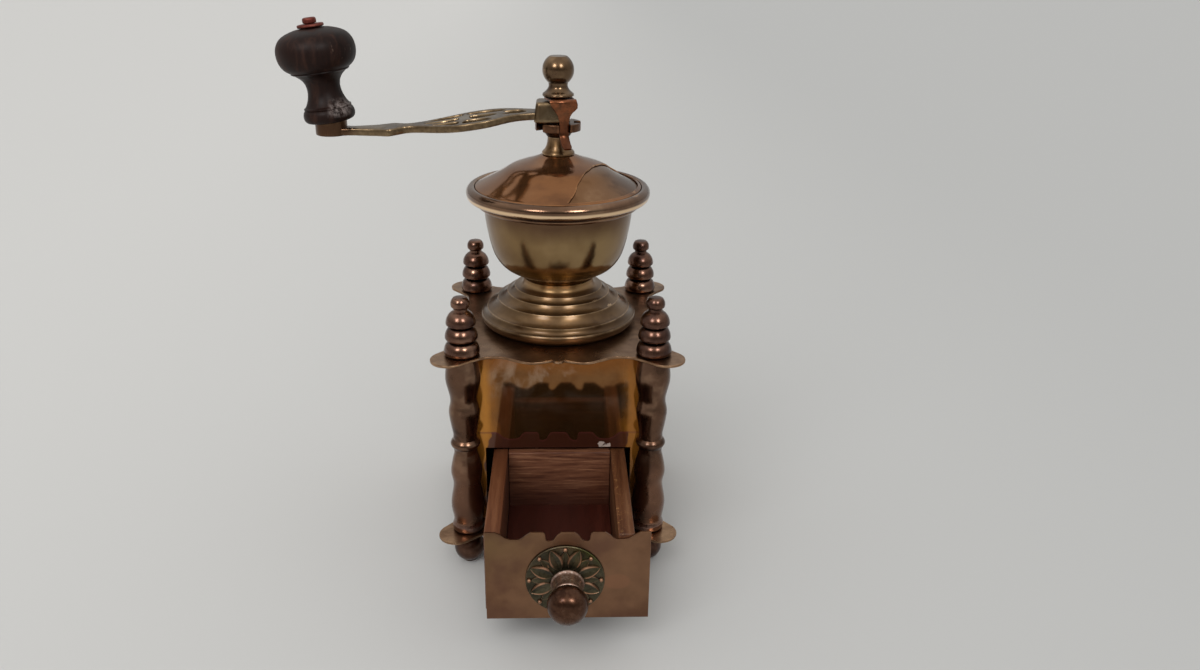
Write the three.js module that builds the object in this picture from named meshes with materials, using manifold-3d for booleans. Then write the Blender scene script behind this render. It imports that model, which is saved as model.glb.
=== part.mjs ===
import * as THREE from 'three';
import { mergeVertices } from 'three/addons/utils/BufferGeometryUtils.js';
import Module from 'manifold-3d';

// A box coffee grinder in brass, bronze and wood. A sheet case stands between two scalloped
// plates and four turned columns. A round hopper with a domed lid stands on the upper plate, a
// crank turns the burr under it, and a wooden drawer below catches the grounds.
// Millimetres. The feet stand on z = 0 and the drawer faces -Y. All pieces are drawn round the
// spindle as the line x = y = 0, and the last line moves the whole mill so that its origin lies
// under the middle of the box that it fills.

// Driving dimensions
const columnSpacing = 86;
const footHeight = 16.4;
const plateThickness = 1.2;
const columnHeight = 89.6;
const caseHalfWidth = 35.7;
const caseFrontHalf = 38.5;
const caseFrontY = -35;
const caseRearY = 39.2;
const caseWall = 1;
const gap = 0.3;
const spindleX = 33.2;
const spindleY = 37.7;

const hopperRadius = 34.9;
const rimRadius = 42.6;
const rimHeight = 172.2;
const domeRadius = 38.5;
const domeTop = 189.4;
const lidSheet = 0.6;

const spindleRadius = 3;
const crankReach = 101.8;
const armThickness = 3.2;
const knobHeight = 40.1;
const knobBase = 203.8;
const knobLean = THREE.MathUtils.degToRad(7.5);

const drawerCentre = 0.5;
const drawerHalfWidth = 31.1;
const drawerWall = 6.8;
const drawerPull = 71.3;
const drawerShift = 3.5;
const drawerFrontThickness = 1.2;
const drawerFrontCentre = 4;
const drawerFrontHalf = 34.2;
const drawerFrontTop = 56.7;
const drawerFrontBottom = 14.2;

// Heights that follow from them
const basePlateTop = footHeight + plateThickness;
const topPlateUnder = basePlateTop + columnHeight;
const topPlateTop = topPlateUnder + plateThickness;
const columnAt = columnSpacing / 2;
const lobeAt = columnAt + 5.2;
const lobeRadius = 8.5;
const rodRadius = 1.9;
const rodBore = 2.3;

const brass = new THREE.MeshStandardMaterial({ color: 0x7d6a45, roughness: 0.38, metalness: 1 });
const darkBrass = new THREE.MeshStandardMaterial({ color: 0x6b4e34, roughness: 0.4, metalness: 1 });
const bronze = new THREE.MeshStandardMaterial({ color: 0x6f4b3a, roughness: 0.4, metalness: 1 });
const copper = new THREE.MeshStandardMaterial({ color: 0x7a4128, roughness: 0.45, metalness: 1 });
const verdigris = new THREE.MeshStandardMaterial({ color: 0x4c5138, roughness: 0.6, metalness: 1 });
const iron = new THREE.MeshStandardMaterial({ color: 0x3b3936, roughness: 0.6, metalness: 1 });
const drawerWood = new THREE.MeshStandardMaterial({ color: 0x59331c, roughness: 0.7, metalness: 0 });
const knobWood = new THREE.MeshStandardMaterial({ color: 0x35241f, roughness: 0.6, metalness: 0 });

const wasm = await Module();
wasm.setup();

const grinder = new THREE.Group();

// A closed mesh: shared vertices are merged, empty triangles dropped, and the faces point out.
function closed(source) {
  const bare = new THREE.BufferGeometry();
  bare.setAttribute('position', source.getAttribute('position').clone());
  if (source.index) bare.setIndex(source.index.clone());
  const merged = mergeVertices(bare, 1e-4);
  const corners = merged.index.array;
  const point = merged.getAttribute('position');
  const [a, b, c] = [new THREE.Vector3(), new THREE.Vector3(), new THREE.Vector3()];
  const kept = [];
  let volume = 0;
  for (let i = 0; i < corners.length; i += 3) {
    const [p, q, r] = [corners[i], corners[i + 1], corners[i + 2]];
    if (p === q || q === r || r === p) continue;
    kept.push(p, q, r);
    volume += a.fromBufferAttribute(point, p)
      .dot(b.fromBufferAttribute(point, q).cross(c.fromBufferAttribute(point, r)));
  }
  if (volume < 0) kept.reverse();
  merged.setIndex(kept);
  return merged;
}

function solid(geometry) {
  const mesh = closed(geometry);
  return new wasm.Manifold(new wasm.Mesh({
    numProp: 3,
    vertProperties: new Float32Array(mesh.getAttribute('position').array),
    triVerts: new Uint32Array(mesh.index.array),
  }));
}

function skin(body) {
  const mesh = body.getMesh();
  const geometry = new THREE.BufferGeometry();
  geometry.setAttribute('position', new THREE.BufferAttribute(mesh.vertProperties, 3));
  geometry.setIndex(new THREE.BufferAttribute(mesh.triVerts, 1));
  return geometry;
}

function piece(name, geometry, material, parent = grinder) {
  const mesh = new THREE.Mesh(closed(geometry), material);
  mesh.name = name;
  parent.add(mesh);
  return mesh;
}

// A turned piece: [radius, height] points, closed back to the first unless they end on the axis.
function turned(profile, segments) {
  const points = profile.map(([r, z]) => new THREE.Vector2(r, z));
  const last = points[points.length - 1];
  if (points[0].x > 0 || last.x > 0) points.push(points[0].clone());
  return new THREE.LatheGeometry(points, segments).rotateX(Math.PI / 2);
}

// A smooth run of [radius, height] points through the given ones.
function flowing(points, steps) {
  const curve = new THREE.SplineCurve(points.map(([r, z]) => new THREE.Vector2(r, z)));
  return curve.getPoints(steps).map((p) => [p.x, p.y]);
}

// Points of a round stretch, as [radius, height]: the angle is 0 level outwards, 90 up.
function round(centreHeight, radius, from, to, steps) {
  return Array.from({ length: steps + 1 }, (_, i) => {
    const angle = THREE.MathUtils.degToRad(from + ((to - from) * i) / steps);
    return [radius * Math.cos(angle), centreHeight + radius * Math.sin(angle)];
  });
}

function rod(radius, bottom, top, sides = 12) {
  return new THREE.CylinderGeometry(radius, radius, top - bottom, sides)
    .rotateX(Math.PI / 2).translate(0, 0, (top + bottom) / 2);
}

function box(x0, x1, y0, y1, z0, z1) {
  return new THREE.BoxGeometry(x1 - x0, y1 - y0, z1 - z0)
    .translate((x0 + x1) / 2, (y0 + y1) / 2, (z0 + z1) / 2);
}

function slab(shape, thickness, curveSegments = 8) {
  return new THREE.ExtrudeGeometry(shape, { depth: thickness, bevelEnabled: false, curveSegments });
}

// An upright sheet from a shape drawn in x and z, its front face on y = front.
function uprightSheet(shape, thickness, front, curveSegments = 8) {
  return slab(shape, thickness, curveSegments).rotateX(Math.PI / 2).translate(0, front + thickness, 0);
}

// A hole with straight sides that touch the circle from outside, so that a round rod clears it.
function circleHole(x, y, radius, sides = 10) {
  const reach = radius / Math.cos(Math.PI / sides);
  const middle = new THREE.Vector2(x, y);
  const corner = (i) => new THREE.Vector2(x + reach, y).rotateAround(middle, (i * -2 * Math.PI) / sides);
  return new THREE.Path(Array.from({ length: sides }, (_, i) => corner(i)));
}

// Direction from the spindle at an angle counted from the front (-Y) towards the right (+X).
function fromFront(degrees, radius) {
  const angle = THREE.MathUtils.degToRad(degrees);
  return new THREE.Vector2(radius * Math.sin(angle), -radius * Math.cos(angle));
}

const corners = [
  ['front_left', -columnAt, -columnAt],
  ['front_right', columnAt, -columnAt],
  ['rear_left', -columnAt, columnAt],
  ['rear_right', columnAt, columnAt],
];

// The two sheet plates share one outline: a round lobe at each corner and, along each side, a
// hollow, two shallow swells and a small bud between them.
const lobeJoin = THREE.MathUtils.degToRad(37.5);
const sideHalf = [
  [38, 50.6], [33, 47.2], [28.2, 46.2], [23.6, 47.2], [15.6, 51.8], [10.2, 52.8], [2.6, 50.4],
];
const bud = [[1.5, 51.6], [0, 52.3]];

function scalloped(frontRecess) {
  const shape = new THREE.Shape();
  const spindle = new THREE.Vector2();
  const spin = (x, y, quarter) => new THREE.Vector2(x, y).rotateAround(spindle, (quarter * Math.PI) / 2);
  for (let quarter = 0; quarter < 4; quarter += 1) {
    const lobe = spin(lobeAt, -lobeAt, quarter);
    const turn = (quarter * Math.PI) / 2;
    const left = sideHalf.map(([x, y]) => spin(-x, -y, quarter));
    const right = sideHalf.map(([x, y]) => spin(x, -y, quarter)).reverse();
    const middle = [...bud, [-bud[0][0], bud[0][1]]].map(([x, y]) => spin(-x, -y, quarter));
    if (quarter === 0) shape.moveTo(spin(-38, -50.6, 0).x, spin(-38, -50.6, 0).y);
    if (quarter === 0 && frontRecess) {
      shape.lineTo(frontRecess.left, -47.9);
      shape.lineTo(frontRecess.left, frontRecess.back);
      shape.lineTo(frontRecess.right, frontRecess.back);
      shape.lineTo(frontRecess.right, -49.4);
      shape.lineTo(38, -50.6);
    } else {
      if (quarter > 0) shape.lineTo(left[0].x, left[0].y);
      shape.splineThru(left.slice(1));
      middle.forEach((p) => shape.lineTo(p.x, p.y));
      shape.lineTo(right[0].x, right[0].y);
      shape.splineThru(right.slice(1));
    }
    const lobeFrom = turn - Math.PI + lobeJoin;
    const lobeTo = turn + Math.PI / 2 - lobeJoin;
    shape.absarc(lobe.x, lobe.y, lobeRadius, lobeFrom, lobeTo, false);
  }
  return shape;
}

// The drawer front passes down in front of the base plate, which is cut back there. The drawer runs
// slightly askew: it comes in to the left by drawerShift over its whole travel.
const frontRecess = {
  left: drawerFrontCentre - drawerFrontHalf - drawerShift - 0.6,
  right: drawerFrontCentre + drawerFrontHalf - drawerShift + 1.6,
  back: caseFrontY,
};

const burrBodyRadius = 22.5;
const burrFlangeRadius = 29.5;
const burrScrewAt = 26.2;
const burrScrewAngles = [90, 210, 330];

const baseShape = scalloped(frontRecess);
corners.forEach(([, x, y]) => baseShape.holes.push(circleHole(x, y, rodBore)));
piece('base_plate', slab(baseShape, plateThickness, 3), bronze).position.z = footHeight;

const topShape = scalloped();
corners.forEach(([, x, y]) => topShape.holes.push(circleHole(x, y, rodBore)));
topShape.holes.push(circleHole(0, 0, burrBodyRadius + gap, 24));
burrScrewAngles.forEach((angle) => {
  const at = fromFront(angle, burrScrewAt);
  topShape.holes.push(circleHole(at.x, at.y, 1.6));
});
piece('top_plate', slab(topShape, plateThickness, 3), bronze).position.z = topPlateUnder;

// Turned columns, screwed up between a finial above and a bun foot below by one rod each.
const columnLength = columnHeight - 2 * gap;
const columnProfile = [
  [rodBore, 0], [6.9, 0], [7.5, 0.8], [7.5, 3.2], [6.8, 4.4],
  ...flowing([[6.9, 6.6], [7.8, 14.5], [6.4, 24.3], [7.3, 31.8], [5.4, 41.2]], 11),
  [5.7, 44], [6.9, 46], [5.7, 48],
  ...flowing([[5.5, 50.9], [7.1, 61.6], [6.2, 68.8], [8, 78.9], [6.8, columnLength]], 10),
  [rodBore, columnLength],
];
const finialProfile = [
  [rodBore, 0], [7.3, 0], [7.9, 1.6], [7.6, 3.4], [6.6, 5.2], [4.9, 6.6],
  [6.8, 7.4], [7.3, 9.2], [6.4, 11.5], [4.5, 13.1],
  [5.9, 14], [6.2, 15.7], [5.2, 18.4], [3.3, 20.6],
  [3.4, 22], [4.2, 23.8], [3.6, 26], [2.2, 26.9], [0, 26.9], [0, 17.6], [rodBore, 17.6],
];
const footProfile = [
  [0, 0], [3, 0], ...round(7.2, 7.2, -62, 45, 5), [4.6, 13.2],
  [4.6, footHeight - gap], [rodBore, footHeight - gap], [rodBore, 6], [0, 6],
];
corners.forEach(([where, x, y]) => {
  piece(`column_${where}`, turned(columnProfile, 12), bronze).position.set(x, y, basePlateTop + gap);
  piece(`finial_${where}`, turned(finialProfile, 12), bronze).position.set(x, y, topPlateTop + gap);
  piece(`foot_${where}`, turned(footProfile, 12), bronze).position.set(x, y, 0);
  piece(`tie_rod_${where}`, rod(rodRadius, 6.3, topPlateTop + 17.4), iron).position.set(x, y, 0);
});

// The sheet case. Its front wall reaches behind the columns and has the drawer's opening, down to
// the base plate.
const openingLeft = -34.4;
const openingRight = 34.3;
const openingTop = 56.2;
const caseBottom = basePlateTop + gap;
const caseTop = topPlateUnder - gap;
const frontWall = new THREE.Shape([
  new THREE.Vector2(-caseFrontHalf, caseBottom), new THREE.Vector2(openingLeft, caseBottom),
  new THREE.Vector2(openingLeft, openingTop), new THREE.Vector2(openingRight, openingTop),
  new THREE.Vector2(openingRight, caseBottom), new THREE.Vector2(caseFrontHalf, caseBottom),
  new THREE.Vector2(caseFrontHalf, caseTop), new THREE.Vector2(-caseFrontHalf, caseTop),
]);
const sideFront = caseFrontY + caseWall + gap;
const rearInside = caseRearY - caseWall;
piece('case_front', uprightSheet(frontWall, caseWall, caseFrontY), brass);
piece('case_rear', box(-caseHalfWidth, caseHalfWidth, rearInside, caseRearY, caseBottom, caseTop), brass);
[['left', -1], ['right', 1]].forEach(([side, sign]) => {
  const outer = sign * caseHalfWidth;
  const inner = sign * (caseHalfWidth - caseWall);
  piece(`case_${side}`, box(
    Math.min(outer, inner), Math.max(outer, inner), sideFront, rearInside - gap, caseBottom, caseTop), brass);
});

// The hopper: a stepped foot, a bowl on it, a rolled rim round the bowl's mouth and the lid.
const hopperSegments = 32;
const footBottom = topPlateTop + gap;
piece('hopper_foot', turned([
  [34.6, footBottom], [36.6, 110.4], [37.1, 112.2], [36.9, 113.5], [35.4, 114.3], [34.1, 116.5],
  [32, 117.4], [29.1, 121], [27, 121.8], [24.5, 124.2], [22.5, 124.9], [21, 126.7],
  [18.2, 127.1], [16.6, 128.6], [16.8, 131],
  [14.6, 131], [14.4, 127], [22, 121.8], [29.5, 116.4], [33.2, 112.2], [33.2, footBottom],
], hopperSegments), brass);

const bowlOutside = flowing([
  [17.4, 132.8], [22, 134.8], [26.3, 137.6], [29.6, 142], [31.6, 147.4], [33.3, 155],
  [34.4, 163], [hopperRadius, 172],
], 9);
const bowlInside = flowing([
  [hopperRadius - 1, 172], [33.4, 163], [32.2, 155], [30.5, 147.9], [28.7, 143],
  [25.7, 138.8], [21.4, 135.9], [17.2, 134],
], 7);
piece('hopper_bowl', turned([
  [12.4, 131.3], [17, 131.3], ...bowlOutside, ...bowlInside, [12.4, 132.4],
], hopperSegments), brass);

const ledgeHeight = rimHeight + 0.2;
piece('hopper_rim', turned([
  [domeRadius + 0.3, 175.2], [40.4, 175.4], [41.9, 174.3], [rimRadius, rimHeight], [41.9, 169.9],
  [38.2, 168.8], [37, 166.4], [36.1, 165.7], [hopperRadius + 0.4, 165.7],
  [hopperRadius + 0.4, ledgeHeight], [domeRadius + 0.3, ledgeHeight],
], hopperSegments), darkBrass);

// The domed lid, with a window that a sliding hatch closes from below.
const domeCurve = [
  [7.6, domeTop], [12, 187.6], [17, 186], [22, 184.1], [27, 181], [32, 178.3], [37, 175.8],
];
const hatchDrop = lidSheet + gap;
const dropBy = (points, amount) => points.map(([r, z]) => [r, z - amount]);
const windowMiddle = 66;
const windowOuter = 36.9;
const windowHalf = [
  [windowOuter, 59.5], [31, 52.3], [26.6, 47.4], [24, 41.5], [22.2, 36.5], [20, 28], [18.4, 15], [17.5, 0],
];
const windowEdge = [
  ...windowHalf.map(([r, a]) => fromFront(windowMiddle - a, r)),
  ...windowHalf.slice(0, -1).reverse().map(([r, a]) => fromFront(windowMiddle + a, r)),
];
const windowShape = new THREE.Shape();
windowShape.moveTo(windowEdge[0].x, windowEdge[0].y);
windowShape.splineThru(windowEdge.slice(1));
const windowStart = THREE.MathUtils.degToRad(windowMiddle + 59.5 - 90);
const windowEnd = THREE.MathUtils.degToRad(windowMiddle - 59.5 - 90);
windowShape.absarc(0, 0, windowOuter, windowStart, windowEnd, true);
const windowCutter = slab(windowShape, 40, 3).translate(0, 0, 160);

const sleeveHole = 5;
const domeShell = turned([
  [sleeveHole, domeTop], ...domeCurve, [domeRadius - 0.3, 175.3], [domeRadius, 174.9],
  [domeRadius, ledgeHeight + gap], [domeRadius - 0.6, ledgeHeight + gap], [domeRadius - 0.6, 174.4],
  ...dropBy(domeCurve, lidSheet).reverse(), [sleeveHole, domeTop - lidSheet],
], hopperSegments);
piece('dome_lid', skin(solid(domeShell).subtract(solid(windowCutter))), darkBrass);

const hatchRadius = 37.2;
const hatchOverlap = 9;
const hatchShell = turned([
  [sleeveHole + 0.2, domeTop - hatchDrop], ...dropBy(domeCurve, hatchDrop), [hatchRadius, 175.3 - hatchDrop],
  [hatchRadius, 175.3 - hatchDrop - lidSheet], ...dropBy(domeCurve, hatchDrop + lidSheet).reverse(),
  [sleeveHole + 0.2, domeTop - hatchDrop - lidSheet],
], hopperSegments);
const hatchFrom = THREE.MathUtils.degToRad(windowMiddle - 59.5 - hatchOverlap - 90);
const hatchTo = THREE.MathUtils.degToRad(windowMiddle + 59.5 + hatchOverlap - 90);
const hatchShape = new THREE.Shape();
hatchShape.absarc(0, 0, 10, hatchTo, hatchFrom + 2 * Math.PI, false);
hatchShape.absarc(0, 0, hatchRadius + 2, hatchFrom, hatchTo, false);
const hatchCutter = slab(hatchShape, 40, 24).translate(0, 0, 160);
piece('sliding_hatch', skin(solid(hatchShell).intersect(solid(hatchCutter))), darkBrass);

// The bush in the lid that carries the spindle, and the ring nut that holds it and the hatch.
piece('bearing_sleeve', turned([
  [spindleRadius + 0.4, 183.4], [sleeveHole - 0.3, 183.4], [sleeveHole - 0.3, domeTop + gap],
  [7.3, domeTop + gap], [7.5, 190.4], [7.2, 191.2], [6.3, 192], [5.4, 194], [4.9, 196.2], [4.9, 197.6],
  [spindleRadius + 0.4, 197.6],
], 20), brass);
piece('sleeve_nut', turned([
  [sleeveHole + 0.2, 184.2], [8, 184.2], [8, 187.3], [sleeveHole + 0.2, 187.3],
], 12), brass);

// The burrs. The outer one hangs in the top plate by its flange; the inner cone turns in it.
const burrBottom = 88;
const burrTeeth = 12;
let outerBurr = solid(turned([
  [17.4, burrBottom], [burrBodyRadius, burrBottom], [burrBodyRadius, topPlateTop + gap],
  [burrFlangeRadius, topPlateTop + gap], [burrFlangeRadius, 111], [16.5, 111], [15.4, 119.5], [13.6, 119.5],
  [12.6, 109], [15.2, 99],
], 24));
for (let tooth = 0; tooth < burrTeeth; tooth += 1) {
  const ridge = new THREE.BoxGeometry(2.2, 1.3, 19).rotateY(-0.19).rotateX(0.35).translate(16.6, 0, 98)
    .rotateZ((tooth * 2 * Math.PI) / burrTeeth);
  outerBurr = outerBurr.add(solid(ridge));
}
const bearingScrewAt = 20;
burrScrewAngles.forEach((angle) => {
  const at = fromFront(angle, burrScrewAt);
  outerBurr = outerBurr.subtract(solid(rod(1.6, 100, 120, 10).translate(at.x, at.y, 0)));
});
[-1, 1].forEach((side) => {
  outerBurr = outerBurr.subtract(solid(rod(1.5, 80, 95, 10).translate(side * bearingScrewAt, 0, 0)));
});
const burrBore = solid(turned([[0, 80], [16, 80], [12.2, 109], [12.2, 125], [0, 125]], 24));
const ridgeLimit = solid(turned([[0, 80], [16.4, burrBottom - 0.1], [14.4, 99], [11.9, 109], [0, 109]], 24));
piece('outer_burr', skin(outerBurr.subtract(ridgeLimit).subtract(solid(rod(12, 100, 130, 24)))), iron);
burrBore.delete();

let innerBurr = solid(turned([
  [spindleRadius + 0.35, 89], [14.4, 89], [12, 98], [8.2, 108], [4.9, 117], [spindleRadius + 0.35, 117],
], 14));
const coneTeeth = 7;
for (let tooth = 0; tooth < coneTeeth; tooth += 1) {
  const blade = new THREE.BoxGeometry(2.4, 1.4, 25).rotateY(-0.3).rotateX(-0.4).translate(10.6, 0, 101.6)
    .rotateZ((tooth * 2 * Math.PI) / coneTeeth);
  innerBurr = innerBurr.add(solid(blade));
}
const coneLimit = solid(turned([[0, 89], [15.6, 89], [13.2, 98], [9.6, 108], [5.6, 117], [0, 117]], 14));
const coneBore = solid(rod(spindleRadius + 0.35, 80, 125, 16));
piece('inner_burr', skin(innerBurr.intersect(coneLimit).subtract(coneBore)), iron);

burrScrewAngles.forEach((angle, i) => {
  const at = fromFront(angle, burrScrewAt);
  piece(`burr_screw_${i + 1}`, turned([
    [0, 104], [1.2, 104], [1.2, 111.3], [2.4, 111.3], [2.2, 112.4], [0, 112.8],
  ], 10), iron).position.set(at.x, at.y, 0);
});

// The strap below the burrs that carries the spindle's lower end.
const strapShape = new THREE.Shape();
strapShape.absarc(bearingScrewAt, 0, 4.4, -Math.PI / 2, Math.PI / 2, false);
strapShape.absarc(-bearingScrewAt, 0, 4.4, Math.PI / 2, (3 * Math.PI) / 2, false);
[-1, 1].forEach((side) => strapShape.holes.push(circleHole(side * bearingScrewAt, 0, 1.6)));
const strap = solid(slab(strapShape, 2.6, 6).translate(0, 0, 85.1))
  .add(solid(rod(6, 82.4, 87.6, 16)))
  .subtract(solid(rod(2.75, 80, 90, 16)));
piece('lower_bearing', skin(strap), iron);
[['left', -1], ['right', 1]].forEach(([side, sign]) => {
  piece(`bearing_screw_${side}`, turned([
    [0, 83.2], [2.4, 83.4], [2.4, 84.8], [1.1, 84.8], [1.1, 94.6], [0, 94.6],
  ], 10), iron).position.x = sign * bearingScrewAt;
});

piece('drive_spindle', turned([
  [0, 82.2], [2.4, 82.2], [2.4, 88.4], [spindleRadius, 88.4], [spindleRadius, 213.2],
  [2.6, 213.2], [2.6, 229], [0, 229],
], 16), iron);

// The star nut sets how fine the burr grinds. A sheet clip under the ball nut drops a tongue
// into one of its notches, so the two turn together with the crank.
const clipAngle = 17;
const notches = 5;
const notchHalf = 2.6;
const notchDepthRadius = 7.6;
const starRadius = 10.5;
const starShape = new THREE.Shape();
for (let lobe = 0; lobe < notches; lobe += 1) {
  const middle = THREE.MathUtils.degToRad(clipAngle - 90) + ((lobe + 0.5) * 2 * Math.PI) / notches;
  const spread = Math.PI / notches - Math.asin(notchHalf / starRadius);
  const innerSpread = Math.PI / notches - Math.asin(notchHalf / notchDepthRadius);
  const at = (angle, r) => [r * Math.cos(angle), r * Math.sin(angle)];
  if (lobe === 0) starShape.moveTo(...at(middle - innerSpread, notchDepthRadius));
  else starShape.lineTo(...at(middle - innerSpread, notchDepthRadius));
  starShape.lineTo(...at(middle - spread, starRadius));
  starShape.absarc(0, 0, starRadius, middle - spread, middle + spread, false);
  starShape.lineTo(...at(middle + innerSpread, notchDepthRadius));
}
const star = solid(slab(starShape, 3.6, 4).translate(0, 0, 200.6))
  .add(solid(turned([[0, 197.9], [5.2, 197.9], [7.4, 200.7], [0, 200.7]], 20)))
  .subtract(solid(rod(spindleRadius + 0.35, 190, 210, 16)));
piece('adjusting_nut', skin(star), copper);

const clipSheet = 0.8;
const clipRadius = 8.5;
const clipTop = 215.2;
const tongueHalf = 2.2;
const clipShoulder = 6.3;
const tongueShape = new THREE.Shape();
tongueShape.moveTo(-5.2, clipTop);
tongueShape.lineTo(-clipShoulder, clipTop - 1);
tongueShape.lineTo(-clipShoulder, 211);
tongueShape.bezierCurveTo(-4.4, 209.6, -tongueHalf, 208.6, -tongueHalf, 205);
[202, 200.4, 198.8, 197.2, 195.8, 194.4].forEach((z) => tongueShape.lineTo(-tongueHalf, z));
[194.4, 195.8, 197.2, 198.8, 200.4, 202, 205].forEach((z) => tongueShape.lineTo(tongueHalf, z));
tongueShape.bezierCurveTo(tongueHalf, 208.6, 4.4, 209.6, clipShoulder, 211);
tongueShape.lineTo(clipShoulder, clipTop - 1);
tongueShape.lineTo(5.2, clipTop);
const tongue = uprightSheet(tongueShape, clipSheet, -clipRadius - clipSheet, 5);
const tonguePoint = tongue.getAttribute('position');
for (let i = 0; i < tonguePoint.count; i += 1) {
  const below = Math.max(0, 200.4 - tonguePoint.getZ(i));
  tonguePoint.setY(i, tonguePoint.getY(i) - 0.16 * below * below);
}
const tabShape = new THREE.Shape();
tabShape.moveTo(-5.2, -clipRadius - clipSheet);
tabShape.lineTo(5.2, -clipRadius - clipSheet);
tabShape.absarc(0, 0, 6.3, 0, Math.PI, false);
tabShape.holes.push(circleHole(0, 0, 2.95));
const clip = solid(tongue).add(solid(slab(tabShape, clipSheet, 8).translate(0, 0, clipTop - clipSheet)));
piece('locking_clip', skin(clip), copper).rotation.z = THREE.MathUtils.degToRad(clipAngle);

piece('ball_nut', turned([
  [2.95, 215.5], [6.7, 215.5], [7.1, 216], [7.1, 216.7], [6.3, 217.4], [5.1, 218.4],
  [4.4, 219.6], [4.15, 220.9],
  ...round(227.1, 7.1, -54, 57, 7), [0, 233.05], [0, 229.3], [2.95, 229.3],
], 16), brass);

// The crank: a pierced leaf-shaped arm with a tapered hub, a boss at its end and a turned knob.
const armHalf = [
  [8, 6], [12, 6.4], [17, 8.2], [22, 11], [27, 14.2], [32, 16.4], [38, 17], [44, 16], [50, 13.2],
  [56, 9.6], [61, 6.4], [65.5, 4.6], [68.5, 4.6], [71.5, 6.6], [75, 8.6], [78, 7.6], [82, 6],
  [87, 4.8], [92, 3.8], [95.5, 4.4],
];
const armEndRadius = 7;
const armShape = new THREE.Shape();
armShape.moveTo(-armHalf[0][0], armHalf[0][1]);
armShape.splineThru(armHalf.slice(1).map(([u, w]) => new THREE.Vector2(-u, w)));
armShape.absarc(-crankReach, 0, armEndRadius, 0.66, 2 * Math.PI - 0.66, false);
armShape.splineThru(armHalf.slice().reverse().map(([u, w]) => new THREE.Vector2(-u, -w)));
const armHoles = [
  [[58, 3.6], [53, 9], [45, 12.6], [44, 9.2], [50, 4.6]],
  [[41.5, 12.6], [34, 13.2], [26, 10.2], [24.5, 6.4], [32, 6.8], [40, 9.2]],
  [[24.5, 3.4], [18, 4.2], [14.5, 0], [18, -4.2], [24.5, -3.4], [22, 0]],
  [[60, -0.6], [52, 0.8], [45.5, 3.4], [46, -2.2], [52, -3.4]],
  [[41.5, -12.4], [34.5, -13.2], [29.5, -11.4], [33, -6.6], [41, -5.6]],
  [[56, -6.4], [50, -10], [45, -12.4], [44.5, -6], [50, -5.6]],
  [[40, 4.6], [33, 3.2], [28, 0], [31.5, -3.4], [38, -2.6]],
];
armHoles.forEach((hole) => {
  const points = hole.map(([u, v]) => new THREE.Vector2(-u, v));
  const rim = new THREE.SplineCurve([...points, points[0]]).getPoints(points.length * 2);
  armShape.holes.push(new THREE.Path(rim.slice(0, -1)));
});
const arm = solid(slab(armShape, armThickness, 2)).refineToLength(6);
const armTop = new THREE.SplineCurve([
  [0, 208.9], [12, 208.9], [21, 208.5], [30, 207.2], [39, 205.8], [48.6, 204.3], [57.6, 203.2], [66, 202.4],
  [76, 201.5], [89, 201], [110, 200.9],
].map(([u, z]) => new THREE.Vector2(u, z))).getPoints(220);
const bent = arm.warp((point) => {
  const next = armTop.findIndex((p) => p.x > -point[0]);
  const [before, after] = [armTop[next - 1], armTop[next]];
  point[2] += THREE.MathUtils.mapLinear(-point[0], before.x, after.x, before.y, after.y) - armThickness;
});
const hubCorners = [[-1, -1], [-1, 1], [1, -1], [1, 1]].map(([x, y]) => solid(turned([
  [0, 204.6], [3.8, 204.6], [4, 205.2], [3.4, 212.6], [2.6, 213.6], [0, 213.6],
], 16)).warp((point) => {
  const spread = THREE.MathUtils.mapLinear(point[2], 204.6, 213.6, 4.1, 3.5);
  point[0] += spread * x - 2.8;
  point[1] += (spread - 0.4) * y;
}));
const hub = wasm.Manifold.hull(hubCorners);
const knobFrame = new THREE.Group();
knobFrame.position.set(-crankReach, 0, knobBase);
knobFrame.rotation.y = -knobLean;
knobFrame.updateMatrix();
const knobAxis = new THREE.Vector3(0, 0, 1).transformDirection(knobFrame.matrix);
const bossTop = knobAxis.dot(knobFrame.position) - 0.4;
const boss = solid(rod(armEndRadius, 197.7, 206, 24).translate(-crankReach, 0, 0))
  .trimByPlane(knobAxis.clone().negate().toArray(), -bossTop);
const pinBore = rod(2.5, -12, 6).applyMatrix4(knobFrame.matrix);
const crank = bent.add(hub).add(boss)
  .subtract(solid(rod(spindleRadius + 0.35, 190, 220, 16)))
  .subtract(solid(pinBore));
piece('crank_arm', skin(crank.simplify(0.08)), brass);

grinder.add(knobFrame);
piece('knob_pin', turned([
  [0, -5.8], [2.1, -5.8], [2.1, knobHeight + 2], [2.9, knobHeight + 2],
  [2.9, knobHeight + 4.1], [2.5, knobHeight + 4.4], [0, knobHeight + 4.4],
], 12), copper, knobFrame);
piece('knob_washer', turned([
  [2.5, knobHeight + 0.3], [5.8, knobHeight + 0.3], [5.8, knobHeight + 1.7], [2.5, knobHeight + 1.7],
], 18), copper, knobFrame);
piece('crank_knob', turned([
  [2.5, 0], [9.4, 0], [10.6, 0.8], [11.2, 2.4], [11.2, 4], [10.1, 6.4],
  ...flowing([[9.6, 7], [8.1, 9.8], [7.3, 13.4], [7.7, 16.8], [10, 20], [12.1, 21.4]], 7),
  ...flowing([[13.2, 22.5], [16.2, 26], [17.2, 31], [15.6, 35.6], [12, 38.2], [6, knobHeight]], 8),
  [2.5, knobHeight],
], 20), knobWood, knobFrame);

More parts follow.
